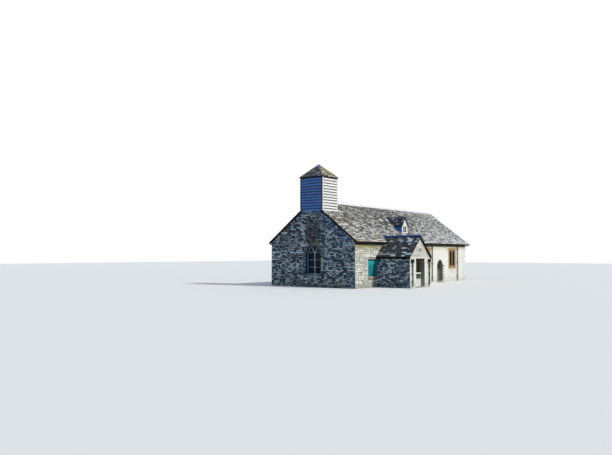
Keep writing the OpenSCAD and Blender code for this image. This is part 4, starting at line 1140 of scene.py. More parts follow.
# %% Lay the gables
GABLE_HALF, GABLE_FOOT, GABLE_SPRING, GABLE_RISE = 0.655, 0.86, 2.15, 0.76
WEST_TOP, EAST_TOP = 5.25, 5.7  # the turret hides the point of the west gable
west_window, east_window = north + 0.18, north


def gable_hole(middle):
    return hole_between(middle - GABLE_HALF, middle + GABLE_HALF, GABLE_FOOT, GABLE_SPRING,
                        GABLE_RISE)


def under_rake(middle, apex, rise):
    """Keeps the stones whose foot is under the rake of a gable."""
    def outline(x0, x1, z0):
        beside = (x0 - middle) * (x1 - middle) > 0
        nearest = min(abs(x0 - middle), abs(x1 - middle)) if beside else 0.0
        return z0 < apex - nearest * rise
    return outline


def rake_cuts(apex, across, pitch):
    """The planes of a gable's two slopes through its apex."""
    return [(apex, across * (sign * math.sin(pitch)) + Vector((0, 0, math.cos(pitch))))
            for sign in (-1, 1)]


nave_rake = under_rake(north, slate_top - 0.16, RISE)
nave_cuts = rake_cuts(Vector((0, 0, slate_top - 0.135 / math.cos(NAVE_PITCH))),
                      Vector((0, 1, 0)), NAVE_PITCH)
lay("west_gable_stones",
    rubble_plan("west", Vector((west, north, 0)), 2 * north, WEST_TOP, gable_hole(west_window),
                layer=0.070, relief=0.034, joint=0.025, shape=(1.0, 3.0), outline=nave_rake),
    lay_rubble, west_stone_sky_shade, "masonry_grey", cuts=nave_cuts)
lay("east_gable_stones",
    rubble_plan("east", Vector((east, south, 0)), 2 * north, EAST_TOP, gable_hole(east_window),
                outline=nave_rake),
    lay_rubble, north_stone, "masonry_cream", cuts=nave_cuts)

# %% [markdown]
# The side walls carry the eaves. The south one has two windows, the priest's
# door, the side door and, inside the porch, the main door. The stones could
# run on behind the dressed ones, but they would show through their joints, so
# each opening is a hole in the plan.

# %% Lay the side walls
WALL_HEAD, WINDOW_WIDTH, WINDOW_FOOT, WINDOW_HEAD = 3.04, 1.4, 1.06, 2.78
PRIEST_ARCH = PRIEST_HALF, PRIEST_SPRING, PRIEST_RISE = 0.435, 1.2, 0.57
MAIN_ARCH = MAIN_HALF, MAIN_SPRING, MAIN_RISE = 0.525, 1.55, 0.62
PRIEST_STONES = 0.07  # width of the stones round the priest's door
SIDE_FOOT = 0.59  # the side door's stone sill starts here
priest_axis = sum(v.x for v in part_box("priest_door_leaf")) / 2
priest_left, priest_right = priest_axis - PRIEST_HALF, priest_axis + PRIEST_HALF
leaf_low, leaf_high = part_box("side_door_leaf")
side_left, side_right, side_head = leaf_low.x + 0.035, leaf_high.x - 0.035, leaf_high.z - 0.035

south_holes = all_holes(
    *[hole_between(x - WINDOW_WIDTH / 2 - west, x + WINDOW_WIDTH / 2 - west, WINDOW_FOOT,
                   WINDOW_HEAD) for x in SIDE_WINDOWS],
    hole_between(priest_left - PRIEST_STONES - west, priest_right - west, 0.0, PRIEST_SPRING,
                 PRIEST_RISE + PRIEST_STONES),
    hole_between(side_left - 0.02 - west, porch_low.x - west, SIDE_FOOT, side_head + 0.09),
    hole_between(main_mid - MAIN_HALF - west, main_mid + MAIN_HALF - west, 0.0, MAIN_SPRING,
                 MAIN_RISE))
north_holes = all_holes(
    *[hole_between(east - x - WINDOW_WIDTH / 2, east - x + WINDOW_WIDTH / 2, WINDOW_FOOT,
                   WINDOW_HEAD) for x in SIDE_WINDOWS])
lay("south_wall_stones",
    rubble_plan("south", Vector((west, south, 0)), east - west, WALL_HEAD, south_holes,
                layer=0.11, relief=0.012, joint=0.022, shape=(0.9, 2.4)),
    lay_rubble, south_stone, "masonry_cream")
lay("north_wall_stones",
    rubble_plan("north", Vector((east, north, 0)), east - west, WALL_HEAD, north_holes),
    lay_rubble, north_stone, "masonry_cream")

# %% [markdown]
# The porch is built of the same rubble. Its gable is trimmed along the rake
# by the same cut as the nave's, with the porch's own, steeper pitch. One plan
# could run round its corners, but each side has had other weather: the west
# one is dark and uneven, so every side is a piece with its own finish.

# %% Lay the porch walls
LINTEL_BEARING, NICHE_HALF, NICHE_FOOT, NICHE_HEAD = 0.33, 0.075, 2.42, 2.67
porch_front, porch_top = porch_low.y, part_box("porch_gable")[1].z
lintel_low, lintel_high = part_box("porch_lintel")
front_holes = all_holes(
    hole_between(lintel_low.x + LINTEL_BEARING - porch_low.x,
                 lintel_high.x - LINTEL_BEARING - porch_low.x, 0.0, lintel_low.z),
    hole_between(lintel_low.x - porch_low.x, lintel_high.x - porch_low.x,
                 lintel_low.z, lintel_high.z),
    hole_between(porch_half - NICHE_HALF, porch_half + NICHE_HALF, NICHE_FOOT, NICHE_HEAD))
lay("porch_gable_stones",
    rubble_plan("south", Vector((porch_low.x, porch_front, 0)), 2 * porch_half, porch_top,
                front_holes, layer=0.07,
                outline=under_rake(porch_half, porch_top - 0.03, PORCH_RISE)),
    lay_rubble, porch_stone, "masonry_cream",
    cuts=rake_cuts(Vector((porch_mid, 0, porch_top)), Vector((1, 0, 0)), PORCH_PITCH))
side_length = south - porch_front
porch_head = porch_top - porch_half * PORCH_RISE
lay("porch_west_stones",
    rubble_plan("west", Vector((porch_low.x, south, 0)), side_length, porch_head,
                layer=0.068, relief=0.025, joint=0.023, shape=(1.0, 2.8)),
    lay_rubble, porch_west_stone_sky_shade, "masonry_cream")
lay("porch_east_stones",
    rubble_plan("east", Vector((porch_high.x, porch_front, 0)), side_length, porch_head),
    lay_rubble, porch_stone, "masonry_cream")

# %% [markdown]
# ## Stone slates in diminishing courses
#
# The largest slates hang at the eaves and the smallest lie under the ridge.
# Each tail rests on the heads below it, so a slate is turned a little flatter
# than the slope. An array of one slate would have straight joints from eaves
# to ridge, so every slate draws its own width. The same planner serves every
# slope: it gets the slope's edge, its heading and pitch, and how far each
# course may run.

# %% Plan a slated slope
def slate_plan(side, edge, pitch, reach, spans, first=0.20, last=0.125, thick=0.024,
               widths=(0.12, 0.28)):
    """edge: middle of the lower edge. spans(s) gives where a course may lie along it."""
    heading, along, out = wall_frame(side)
    up = Vector((0, 0, math.sin(pitch))) - out * math.cos(pitch)
    normal = Vector((0, 0, math.cos(pitch))) + out * math.sin(pitch)
    plan, s = [], 0.0
    while s < reach - 0.03:
        share = s / reach
        exposure = first + (last - first) * share
        length = min(exposure * 1.75, reach - s + 0.02)
        tilt = 0.9 * thick / exposure
        for left, right in spans(s):
            for x, width in lengths_along(
                    left, right, lambda: rng.uniform(*widths) * (1.15 - 0.4 * share),
                    widths[0] * 0.6, 0.02):
                t = thick * rng.uniform(0.7, 1.25)
                tail = s + rng.uniform(-0.008, 0.008) * (s > 0)
                place = (edge + along * (x + width / 2) + up * (tail + length / 2)
                         + normal * (0.004 + t / 2 - length / 2 * math.sin(tilt) * 0.9))
                turn = (Matrix.Rotation(heading, 4, "Z") @ Matrix.Rotation(pitch - tilt, 4, "X")
                        @ Matrix.Rotation(rng.uniform(-0.012, 0.012), 4, "Z")).to_euler()
                plan.append((place, turn, (width - rng.uniform(0.002, 0.008), length, t)))
        s += exposure
    return plan


print("slate planner ready")

# %% [markdown]
# The nave's courses run from verge to verge. On the south slope they stop at
# the dormer's walls and at the valleys of the porch roof, which widen towards
# the eaves, and on both slopes at the turret. Slates that ran on under these
# would cost time and come through them here and there.

# %% Slate the nave
slope_length = eaves_y / math.cos(NAVE_PITCH)
eaves_z = nave_surface(eaves_y)
verge_west, verge_east = roof_low.x + 0.014, roof_high.x - 0.012
turret_half = (turret_high.y - turret_low.y) / 2
dormer_low, dormer_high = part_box("dormer_walls")
porch_ridge_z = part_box("porch_roof_west")[1].z
DORMER_REACH = 0.75  # how far back from its front the dormer cuts the courses


def south_gaps(y):
    gaps = []
    if y < turret_half + 0.02:
        gaps.append((verge_west - 1, turret_high.x - 0.01))
    if -dormer_low.y - DORMER_REACH < y < -dormer_low.y + 0.02:
        gaps.append((dormer_low.x + 0.03, dormer_high.x - 0.03))
    half = (porch_ridge_z - nave_surface(y)) / PORCH_RISE - 0.05
    if half > 0:
        gaps.append((porch_mid - half, porch_mid + half))
    return gaps


def north_gaps(y):
    return [(-turret_high.x + 0.01, -verge_west + 1)] if y < turret_half + 0.02 else []


for side, sign, left, right, gaps in (("south", -1, verge_west, verge_east, south_gaps),
                                      ("north", 1, -verge_east, -verge_west, north_gaps)):
    lay(f"nave_slates_{side}",
        slate_plan(side, Vector((0, sign * (eaves_y - 0.02), eaves_z + 0.015)), NAVE_PITCH,
                   slope_length, lambda s: clear_spans(
                       left, right, sorted(gaps(eaves_y - s * math.cos(NAVE_PITCH))))),
        lay_slates, main_slate, "roof_slate")

# %% [markdown]
# The porch slopes stop where they meet the nave: above the eaves along a
# valley, and below them against the wall. A plane could cut the valley, but a
# slater ends each course there, and so does the plan. The west slope is a
# darker slate.

# %% Slate the porch
porch_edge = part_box("porch_roof_west")[0]
porch_reach = porch_mid - porch_edge.x
porch_edge_z = porch_ridge_z - porch_reach * PORCH_RISE


def run_back(flip, front, back):
    """Courses from a front edge to where back(s) ends them. flip is -1 on a west slope."""
    return lambda s: [tuple(sorted((flip * front, flip * back(s))))]


def porch_back(s):
    z = porch_edge_z + s * math.sin(PORCH_PITCH)
    return (roof_line(z) if z > eaves_z else south) - 0.02


for side, sign, finish, first, last, widths in (
        ("west", -1, porch_west_slate_sky_shade, 0.16, 0.115, (0.16, 0.42)),
        ("east", 1, main_slate, 0.17, 0.12, (0.14, 0.28))):
    edge_x = porch_edge.x if side == "west" else 2 * porch_mid - porch_edge.x
    lay(f"porch_slates_{side}",
        slate_plan(side, Vector((edge_x, 0, porch_edge_z)), PORCH_PITCH,
                   porch_reach / math.cos(PORCH_PITCH),
                   run_back(sign, porch_edge.y + 0.010, porch_back),
                   first=first, last=last, widths=widths),
        lay_slates, finish, "roof_slate")

# %% [markdown]
# The turret's roof is a pyramid. Courses that ended in steps at the hips
# would leave them open, so the four slopes are planned a little too wide, and
# then each is cut back along its two hips.

# %% Slate the turret
cap_low, cap_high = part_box("turret_roof")
turret_axis = Vector(((cap_low.x + cap_high.x) / 2, 0, 0))
turret_point = cap_high.z - cap_low.z - 0.05
for side in HEADINGS:
    heading, along, out = wall_frame(side)
    deep, wide = (cap_high.x - cap_low.x) / 2, (cap_high.y - cap_low.y) / 2
    if side in ("south", "north"):
        deep, wide = wide, deep
    pitch = math.atan(turret_point / deep)
    slope = deep / math.cos(pitch)
    edge = turret_axis + out * (deep + 0.012) + Vector((0, 0, cap_low.z + 0.044))
    hips = [(turret_axis, (along * sign * deep - out * wide).normalized()) for sign in (-1, 1)]

    def turret_spans(s):
        half = (deep - s * math.cos(pitch)) * wide / deep + 0.05
        return [(-half, half)] if s < slope - 0.16 else []

    lay(f"turret_slates_{side}",
        slate_plan(side, edge, pitch, slope, turret_spans,
                   first=0.13, last=0.10, thick=0.016, widths=(0.11, 0.22)),
        lay_slates, sunny_turret_slate if side in ("south", "east") else turret_slate,
        "turret_slate", cuts=hips)

# %% [markdown]
# ## Weatherboards
#
# The turret is clad in lapped boards. Each board leans out at its foot, where
# it covers the head of the one below, so the dark lines between them are real
# shadows; the finish adds painted shade under each lap. A painted line alone
# would vanish from below. The boards are laid by the same node tree as stones
# and slates: the plan only turns them to their side and tips them by the lap.
# The west side is painted blue as the shade of the sky, so it is a piece of its
# own.

# %% Board the turret
def board_rows(side, corner, spans, low, high, course, lap, thick):
    """Lapped boards. corner is the wall's left corner, spans(z) gives where a row may lie."""
    heading, along, out = wall_frame(side)
    rows = round((high - low) / course)
    course = (high - low) / rows
    lean = math.atan(lap / course)
    plan = []
    for row in range(rows):
        z = low + row * course
        tall = min(course * 1.10, high - z)
        for left, right in spans(z):
            ends = [left, right]
            if right - left > 1.2 and rng.random() < 0.45:
                ends.insert(1, rng.uniform(left + 0.4, right - 0.4))
            for a, b in zip(ends, ends[1:]):
                place = (corner + along * ((a + b) / 2)
                         - out * (lap / 2 + thick / 2 + rng.uniform(0.0, 0.002))
                         + Vector((0, 0, z + tall / 2 + rng.uniform(-0.003, 0.003))))
                turn = (Matrix.Rotation(heading, 4, "Z") @ Matrix.Rotation(-lean, 4, "X")
                        @ Matrix.Rotation(rng.uniform(-0.003, 0.003), 4, "Y")).to_euler()
                plan.append((place, turn, (b - a - 0.002, thick, tall)))
    return plan


CORNER_BOARD = 0.095 + 0.001  # the boards start beside the corner boards
turret_long, turret_deep = turret_high.x - turret_low.x, turret_high.y - turret_low.y
clad = []
for side, x, y, length in (("south", turret_low.x, turret_low.y, turret_long),
                           ("east", turret_high.x, turret_low.y, turret_deep),
                           ("north", turret_high.x, turret_high.y, turret_long),
                           ("west", turret_low.x, turret_high.y, turret_deep)):
    rows = board_rows(side, Vector((x, y, 0)),
                      lambda z: [(CORNER_BOARD, length - CORNER_BOARD)],
                      turret_low.z, turret_high.z, 0.19, 0.016, 0.018)
    if side == "west":
        lay("turret_boards_west", rows, lay_boards, west_boards_sky_shade, "painted_boards")
    else:
        clad += rows
lay("turret_boards", clad, lay_boards, board_paint, "painted_boards",
    replaces=["turret_boarding"])

# %% [markdown]
# The dormer is a small house on the slope. Its slates and the boards of its
# cheeks both run back until they meet the nave's slates, so the same slope
# line ends them: each course and each row asks how far the roof is at its
# own height.

# %% Slate and board the dormer
dormer_roof_low, dormer_roof_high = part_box("dormer_roof")
dormer_mid = (dormer_roof_low.x + dormer_roof_high.x) / 2
dormer_edge = (dormer_roof_high.x - dormer_roof_low.x) / 2
dormer_edge_z = dormer_roof_high.z - dormer_edge * math.tan(DORMER_PITCH)


def dormer_back(s):
    return roof_line(dormer_edge_z + s * math.sin(DORMER_PITCH)) + 0.03


def cheek_back(z):
    return max(0.05, roof_line(z) + 0.03 - dormer_low.y) + dormer_low.y


for side, sign, finish in (("west", -1, dormer_west_slate_sky_shade), ("east", 1, main_slate)):
    lay(f"dormer_slates_{side}",
        slate_plan(side, Vector((dormer_mid + sign * dormer_edge, 0, dormer_edge_z)),
                   DORMER_PITCH, dormer_edge / math.cos(DORMER_PITCH),
                   run_back(sign, dormer_roof_low.y - 0.004, dormer_back),
                   first=0.12, last=0.10, thick=0.014, widths=(0.11, 0.2)),
        lay_slates, finish, "roof_slate")
for side, sign, x, finish in (("west", -1, dormer_low.x - 0.014, cheek_sky_shade),
                              ("east", 1, dormer_high.x + 0.014, board_paint)):
    lay(f"dormer_boards_{side}",
        board_rows(side, Vector((x, 0, 0)), run_back(sign, dormer_low.y, cheek_back),
                   nave_surface(dormer_low.y) - 0.02, dormer_edge_z + 0.02, 0.11, 0.010, 0.014),
        lay_boards, finish, "painted_boards")

# %% [markdown]
# ## Ridge stones
#
# Real ridges are laid in pieces about half a metre long, each a shallow V.
# An array would make them equally long. So one piece is modelled by extruding
# a V-shaped strip, and copies of different lengths stand on the ridge with
# thin joints between them.

# %% Lay the ridge stones
def ridge_template(name, pitch, wing, thick):
    bm = bmesh.new()
    drop, wide = wing * math.sin(pitch), wing * math.cos(pitch)
    crown, left, right = (bm.verts.new((-0.5, y, z))
                          for y, z in ((0, 0), (-wide, -drop), (wide, -drop)))
    strips = [bm.edges.new((left, crown)), bm.edges.new((crown, right))]
    swept = bmesh.ops.extrude_edge_only(bm, edges=strips)
    bmesh.ops.translate(bm, vec=(1, 0, 0),
                        verts=[v for v in swept["geom"] if isinstance(v, bmesh.types.BMVert)])
    bmesh.ops.recalc_face_normals(bm, faces=bm.faces)
    if sum(face.normal.z for face in bm.faces) < 0:
        bmesh.ops.reverse_faces(bm, faces=bm.faces)
    bmesh.ops.solidify(bm, geom=bm.faces[:], thickness=-thick)
    bmesh.ops.recalc_face_normals(bm, faces=bm.faces)
    outer = [e for e in bm.edges if e.calc_length() > 0.9]
    bmesh.ops.bevel(bm, geom=outer, offset=0.012, segments=2, affect="EDGES", profile=0.5,
                    material=-1)
    bmesh.ops.translate(bm, vec=(0, 0, -max(v.co.z for v in bm.verts)), verts=bm.verts)
    return make_template(name, bm)


def lay_ridge(name, node, pitch, axis, wing, thick, finish):
    """Ridge pieces along X (axis 0) or Y (axis 1) on top of a node."""
    low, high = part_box(node)
    group = as_collection(name + "_set", [ridge_template(name + "_piece", pitch, wing, thick)])
    plan = []
    for at, length in lengths_along(low[axis], high[axis], lambda: rng.uniform(0.42, 0.6),
                                    0.2, 0.05):
        place = (low + high) / 2
        place[axis], place.z = at + length / 2, high.z
        plan.append((place + Vector((0, 0, rng.uniform(-0.006, 0.0))),
                     (rng.uniform(-0.01, 0.01), 0, axis * math.pi / 2), (length - 0.008, 1, 1)))
    return lay(name, plan, laying_tree(group), finish, "ridge_stone", replaces=[node])


lay_ridge("nave_ridge_stones", "nave_ridge", NAVE_PITCH, 0, 0.21, 0.05, ridge_stone)
lay_ridge("porch_ridge_slates", "porch_ridge", PORCH_PITCH, 1, 0.14, 0.035, porch_ridge_sky_shade)

# %% [markdown]
# ## Dressed stones round the openings
#
# A pointed arch is two arcs that meet at a crown. Their centres lie on the
# springing line, a little beyond the middle, so that the radius is larger
# than half the width. A bent row of blocks would be quicker, but it has no
# two halves. So the wedge-shaped stones are planned along each arc: every
# block is turned until its length points at its own centre.

# %% Plan an arch
def stone_block(index):
    """A sawn block with worn edges."""
    return make_template(f"block_{index}", worn_cube(0.06, (0.02, 0.04, 0.03)))


lay_blocks = laying_tree(as_collection("blocks", [stone_block(i) for i in range(4)]))


def pointed_arc(half, rise):
    """Radius of the two arcs of a pointed head, and how far past the middle they centre."""
    radius = (half * half + rise * rise) / (2 * half)
    return radius, radius - half


def arch_plan(side, corner, middle, arch, deep, proud, step=0.10):
    """Wedge stones of an arch. middle is measured along the wall from its corner."""
    heading, along, out = wall_frame(side)
    half, spring, rise = arch
    radius, offset = pointed_arc(half, rise)
    sweep = math.acos(offset / radius)
    count = round(radius * sweep / step)
    plan = []
    for hand in (-1, 1):
        centre = corner + along * (middle - hand * offset) + Vector((0, 0, spring))
        for i in range(count):
            angle = sweep * (i + 0.5) / count
            length = deep * rng.uniform(0.9, 1.1)
            ray = along * (hand * math.cos(angle)) + Vector((0, 0, math.sin(angle)))
            place = (centre + ray * (radius + length / 2)
                     + out * (proud * rng.uniform(0.7, 1.0) - STONE_DEPTH / 2))
            lean = angle if hand > 0 else math.pi - angle
            turn = (Matrix.Rotation(heading, 4, "Z") @ Matrix.Rotation(-lean, 4, "Y")).to_euler()
            plan.append((place, turn, (length, STONE_DEPTH, radius * sweep / count - 0.006)))
    return plan


print("arch planner ready")

# %% [markdown]
# Beside an opening long and short stones take turns, so that they bond with
# the rubble. Equal blocks would be simpler, but would look like a frame that
# was set against the wall.

# %% Plan the jambs
def jamb_plan(side, corner, edge, hand, low, high, widths, tall, proud):
    """Stones beside an opening. They grow from its edge to the left (-1) or the right (1)."""
    heading, along, out = wall_frame(side)
    plan = []
    rows = lengths_along(low, high, lambda: rng.uniform(*tall), tall[0] * 0.6)
    for row, (z, height) in enumerate(rows):
        width = widths[row % len(widths)] * rng.uniform(0.9, 1.1)
        place = (corner + along * (edge + hand * width / 2)
                 + out * (proud * rng.uniform(0.7, 1.0) - STONE_DEPTH / 2)
                 + Vector((0, 0, z + height / 2)))
        plan.append((place, (0, 0, heading), (width, STONE_DEPTH, height - 0.008)))
    return plan


def both_jambs(side, corner, middle, half, low, high, widths, tall, proud):
    """Two jambs, whose long and short stones take turns."""
    return (jamb_plan(side, corner, middle - half, -1, low, high, widths, tall, proud)
            + jamb_plan(side, corner, middle + half, 1, low, high, widths[::-1], tall, proud))


print("jamb planner ready")

# %% [markdown]
# The priest's door has a thin brown edge on its left and grey quoins on its
# right. The other arches have deep wedges all round. A few long pale stones
# lie in the grey west gable. Chance would hardly lay them where they are, so
# they are listed, and they are blocks like these.

# %% Lay the stones of the openings
DOOR_FOOT, QUOINS_TOP = 0.15, 1.42
at_south, at_west, at_east = (Vector((x, y, 0)) for x, y in (
    (west, south), (west, north), (east, south)))
GABLE_ARCH = (0.665, GABLE_SPRING, 0.75)
priest_mid = (priest_left + priest_right) / 2
lay("priest_door_brown_stones",
    jamb_plan("south", at_south, priest_left - west, -1, DOOR_FOOT, PRIEST_SPRING, (0.065,),
              (0.18, 0.30), 0.020)
    + arch_plan("south", at_south, priest_mid - west, PRIEST_ARCH, PRIEST_STONES, 0.020, 0.13),
    lay_blocks, brown_jamb, "dressed_stone")
lay("priest_door_quoins",
    jamb_plan("south", at_south, priest_right - west, 1, DOOR_FOOT, QUOINS_TOP, (0.10, 0.30),
              (0.11, 0.14), 0.030),
    lay_blocks, grey_quoin, "dressed_stone")
lay("west_window_arch",
    arch_plan("west", at_west, west_window, GABLE_ARCH, 0.20, 0.045),
    lay_blocks, quoin_stone, "dressed_stone")
lay("east_window_arch",
    arch_plan("east", at_east, east_window, GABLE_ARCH, 0.20, 0.040)
    + both_jambs("east", at_east, east_window, GABLE_HALF, GABLE_FOOT, GABLE_SPRING,
                 (0.30, 0.18), (0.18, 0.26), 0.035),
    lay_blocks, door_stone, "dressed_stone")
lay("main_door_stones",
    arch_plan("south", at_south, main_mid - west, MAIN_ARCH, 0.20, 0.025, 0.12)
    + both_jambs("south", at_south, main_mid - west, MAIN_HALF, DOOR_FOOT, MAIN_SPRING,
                 (0.30, 0.20), (0.20, 0.32), 0.025),
    lay_blocks, door_stone, "dressed_stone")
heading, along, out = wall_frame("west")
pale_stones = [  # from the gable's middle, height, width, height of the stone, how proud
    (-0.42, 0.57, 0.34, 0.08, 0.05), (-0.12, 0.57, 0.22, 0.07, 0.045),
    (2.17, 1.15, 0.26, 0.10, 0.055), (2.46, 1.13, 0.16, 0.08, 0.045)]
lay("pale_gable_stones",
    [(at_west + along * (north + u) + out * (proud - 0.04) + Vector((0, 0, z)),
      (0, 0, heading), (wide, 0.08, tall)) for u, z, wide, tall, proud in pale_stones],
    lay_blocks, pale_stone, "masonry_grey")

# %% [markdown]
# ## Planks, leads and boards
#
# The door leaves are single solids. Thin planks on their faces give them the
# V-shaped joints of real boarding: each plank's front edges are bevelled, and
# the heads follow the door's outline. The planks ride on the leaf's own body,
# so they swing with it, and stay inside the clear opening.

# %% Plank the doors and the gate
PLANK_FOOT, PLANK_GAP = 0.162, 0.008


def as_piece(name, bm):
    """An object in the scene from a bmesh, which is used up."""
    mesh = bpy.data.meshes.new(name)
    bm.to_mesh(mesh)
    bm.free()
    piece = bpy.data.objects.new(name, mesh)
    bpy.context.scene.collection.objects.link(piece)
    return piece


def pointed_top(middle, arch):
    """The height of a pointed head at a place x, a little inside the opening."""
    half, spring, rise = arch
    radius, offset = pointed_arc(half, rise)
    return lambda x: spring + math.sqrt(
        max(0.0, (radius - PLANK_GAP) ** 2 - (abs(x - middle) + offset) ** 2))


def plank_face(name, left, right, foot, top_of, front, finish, slot, body, widths=(0.11, 0.15),
               thick=0.003):
    """Planks from left to right, 1 mm apart. top_of(x) is the height of their heads."""
    bm = bmesh.new()
    tint = bm.verts.layers.float.new("tint")
    for x, width in lengths_along(left, right, lambda: rng.uniform(*widths), widths[0] * 0.5):
        share = rng.random()
        plank = bmesh.ops.create_cube(bm, size=1.0)["verts"]
        for v in plank:
            at = x + 0.0005 + (v.co.x + 0.5) * (width - 0.001)
            v.co = Vector((at, front + (0.004 if v.co.y > 0 else -thick),
                           top_of(at) if v.co.z > 0 else foot))
            v[tint] = share
        seams = [e for v in plank for e in v.link_edges
                 if all(w.co.y < front for w in e.verts)
                 and abs(e.verts[0].co.z - e.verts[1].co.z) > 0.1]
        bevel(bm, list(dict.fromkeys(seams)), 0.0025)
    bmesh.ops.recalc_face_normals(bm, faces=bm.faces)
    return finish_piece(as_piece(name, bm), finish, slot, body)


main_front, priest_front, side_front = (
    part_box(door + "_door_leaf")[0].y for door in ("main", "priest", "side"))
plank_face("main_door_planks", main_mid - MAIN_HALF + PLANK_GAP, main_mid + MAIN_HALF - PLANK_GAP,
           PLANK_FOOT, pointed_top(main_mid, MAIN_ARCH), main_front, door_wood, "brown_boards",
           "chapel", (0.13, 0.19))
plank_face("priest_door_planks", priest_left + PLANK_GAP, priest_right - PLANK_GAP, PLANK_FOOT,
           pointed_top(priest_mid, PRIEST_ARCH), priest_front, old_wood, "brown_boards",
           "priest_door", (0.12, 0.17))
plank_face("side_door_planks", side_left + PLANK_GAP, side_right - PLANK_GAP,
           leaf_low.z + 0.004, lambda x: side_head - PLANK_GAP, side_front, teal_paint,
           "teal_boards", "side_door")
GATE_STILE, PANEL_FOOT, PANEL_HEAD, PANEL_BACK = 0.098, 0.166, 0.520, 0.012
gate_low, gate_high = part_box("porch_gate_leaf")
plank_face("gate_planks", gate_low.x + GATE_STILE, gate_high.x - GATE_STILE, PANEL_FOOT,
           lambda x: PANEL_HEAD, gate_low.y + PANEL_BACK, gate_paint, "gate_wood", "porch_gate")

# %% [markdown]
# The two-light windows are glazed with small leaded panes. Leads cut through a
# sheet of glass would make hundreds of pieces, so thin bars lie on both faces
# of the sheet, as far apart as the panes are wide. The same bars, larger, make
# the painted boards beside and over the side door.

# %% Lead the stone windows and board the side door's frame
def bars(name, boxes, finish, slot):
    """Straight bars from boxes: (low corner, high corner) each."""
    bm = bmesh.new()
    for low, high in boxes:
        for v in bmesh.ops.create_cube(bm, size=1.0)["verts"]:
            v.co = Vector([a if c < 0 else b for c, a, b in zip(v.co, low, high)])
    return finish_piece(as_piece(name, bm), finish, slot)


LIGHTS_HALF, LIGHTS_FOOT, LIGHTS_HEAD, LEAD_HALF = 0.575, 1.18, 2.69, 0.004
LEAD_FACES = ((-3.524, -3.519), (3.519, 3.524))  # outside the south and north glass
COLUMNS, ROWS = 8, 9
leads = []
for middle in SIDE_WINDOWS:
    left, right = middle - LIGHTS_HALF, middle + LIGHTS_HALF
    for near, far in LEAD_FACES:
        for i in range(1, COLUMNS):
            x = left + (right - left) * i / COLUMNS
            leads.append(((x - LEAD_HALF, near, LIGHTS_FOOT), (x + LEAD_HALF, far, LIGHTS_HEAD)))
        for i in range(1, ROWS):
            z = LIGHTS_FOOT + (LIGHTS_HEAD - LIGHTS_FOOT) * i / ROWS
            leads.append(((left, near, z - LEAD_HALF), (right, far, z + LEAD_HALF)))
bars("window_leads", leads, came, "lead")
JAMB_FOOT, JAMB_HEAD = 0.745, 1.97
board_front, board_back, board_end = south - FACE, south + 0.004, porch_low.x - 0.003
bars("side_door_jamb_board",
     [((side_right + 0.002, board_front, JAMB_FOOT), (board_end, board_back, JAMB_HEAD))],
     teal_paint, "teal_boards")
bars("side_door_head_board",
     [((side_left - 0.04, board_front, side_head + 0.002),
       (board_end, board_back, side_head + 0.055))],
     brown_jamb, "oak")

# %% [markdown]
# A black board closes the slates at the east verge of the porch. It is a
# dark piece that stands for the shade under the overhang, on this verge only.
# It is made lying level with one end at the origin, and then turned about that
# end and moved to the gable's point, which is easier than placing its corners.

# %% Board the porch's verge
BOARD_THICK, BOARD_TALL = 0.022, 0.11
bm = bmesh.new()
plank = bmesh.ops.create_cube(bm, size=1.0)["verts"]
rake = porch_half / math.cos(PORCH_PITCH) + 0.02
bmesh.ops.scale(bm, vec=(rake, BOARD_THICK, BOARD_TALL), verts=plank)
bmesh.ops.translate(bm, vec=(rake / 2, 0, -BOARD_TALL / 2 - 0.004), verts=plank)
bmesh.ops.rotate(bm, cent=(0, 0, 0), matrix=Matrix.Rotation(PORCH_PITCH, 3, "Y"), verts=plank)
bmesh.ops.translate(bm, vec=(porch_mid, porch_front - 0.036, porch_top), verts=plank)
finish_piece(as_piece("porch_barge_board", bm), verge_shade_paint, "painted_boards")

# %% [markdown]
# ## Floor, light and camera
#
# A plain pale floor shows what stands on it and takes its shadow. To the
# camera it is paler than to the light, so that little of it is thrown back on
# the walls.

# %% The floor
bm = bmesh.new()
bmesh.ops.create_grid(bm, x_segments=1, y_segments=1, size=120)
bmesh.ops.translate(bm, vec=(0, 0, -0.002), verts=bm.verts)
floor = as_piece("floor", bm)
pale = Finish("pale_floor")
shown = pale.node("LightPath", output="Is Camera Ray")
floor.data.materials.append(
    pale.done(pale.mix(shown, (0.26, 0.26, 0.25), (0.80, 0.80, 0.79)), 0.95))
print("floor:", len(floor.data.polygons), "face")

# %% [markdown]
# The light is a soft sun high in the south and an even pale dome, so that a
# colour renders about as it is written. A dome that is white for every ray
# would light the chapel too strongly, so only the rays that are seen find it
# white: those of the camera, and those that come by way of gloss or glass.

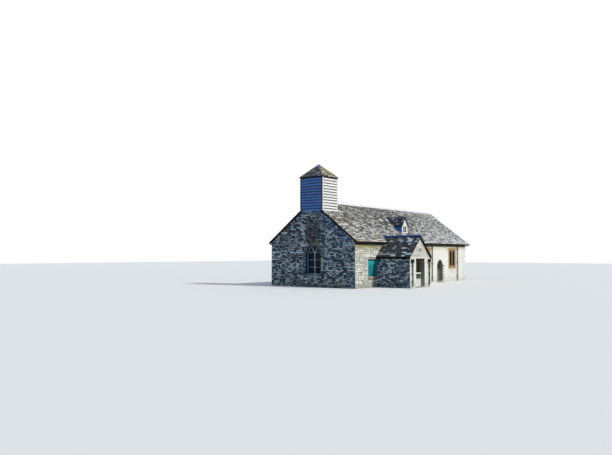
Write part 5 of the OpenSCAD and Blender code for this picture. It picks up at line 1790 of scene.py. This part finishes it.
# %% The light
world = bpy.data.worlds.new("dome")
bpy.context.scene.world = world
world.use_nodes = True
dome = world.node_tree
dim, bright = dome.nodes["Background"], dome.nodes.new("ShaderNodeBackground")
dim.inputs["Color"].default_value = (0.66, 0.80, 1.0, 1)
dim.inputs["Strength"].default_value = 0.52
bright.inputs["Color"].default_value = (1, 1, 1, 1)
rays = dome.nodes.new("ShaderNodeLightPath")
seen = rays.outputs["Is Camera Ray"]
for ray in ("Is Glossy Ray", "Is Transmission Ray"):
    either = dome.nodes.new("ShaderNodeMath")
    either.operation = "MAXIMUM"
    dome.links.new(seen, either.inputs[0])
    dome.links.new(rays.outputs[ray], either.inputs[1])
    seen = either.outputs[0]
blend = dome.nodes.new("ShaderNodeMixShader")
for socket, source in enumerate((seen, dim.outputs[0], bright.outputs[0])):
    dome.links.new(source, blend.inputs[socket])
dome.links.new(blend.outputs[0], dome.nodes["World Output"].inputs["Surface"])

sun = bpy.data.lights.new("sun", "SUN")
sun.energy, sun.angle, sun.color = 2.8, math.radians(5), (1.0, 0.96, 0.88)
sun_lamp = bpy.data.objects.new("sun", sun)
bpy.context.scene.collection.objects.link(sun_lamp)
from_south, height = math.radians(12), math.radians(38)
towards = Vector((math.sin(from_south), -math.cos(from_south), math.tan(height)))
sun_lamp.rotation_euler = towards.to_track_quat("Z", "Y").to_euler()
print("sun:", round(sun.energy, 2), "dome:", round(dim.inputs["Strength"].default_value, 2))

# %% [markdown]
# The camera stands where the photograph was taken: a fit of the corners of
# walls and roofs gave its place, direction and lens. A camera placed by eye
# would show the same sides, but no corner would lie where it should.

# %% The camera
PHOTO_WIDTH, FOCAL_PIXELS, SENSOR = 612, 620.57, 36.0
lens = bpy.data.cameras.new("camera")
lens.sensor_width, lens.lens = SENSOR, SENSOR * FOCAL_PIXELS / PHOTO_WIDTH
lens.clip_end = 500
camera = bpy.data.objects.new("camera", lens)
bpy.context.scene.collection.objects.link(camera)
camera.location = (-33.747 - WEST_END, -26.453, 2.262)
yaw, lift = math.radians(38.57), math.radians(2.458)
look = Vector((math.cos(yaw) * math.cos(lift), math.sin(yaw) * math.cos(lift), math.sin(lift)))
camera.rotation_euler = look.to_track_quat("-Z", "Y").to_euler()
bpy.context.scene.camera = camera
bpy.context.scene.view_settings.view_transform = "Standard"
print("lens:", round(lens.lens, 2), "mm")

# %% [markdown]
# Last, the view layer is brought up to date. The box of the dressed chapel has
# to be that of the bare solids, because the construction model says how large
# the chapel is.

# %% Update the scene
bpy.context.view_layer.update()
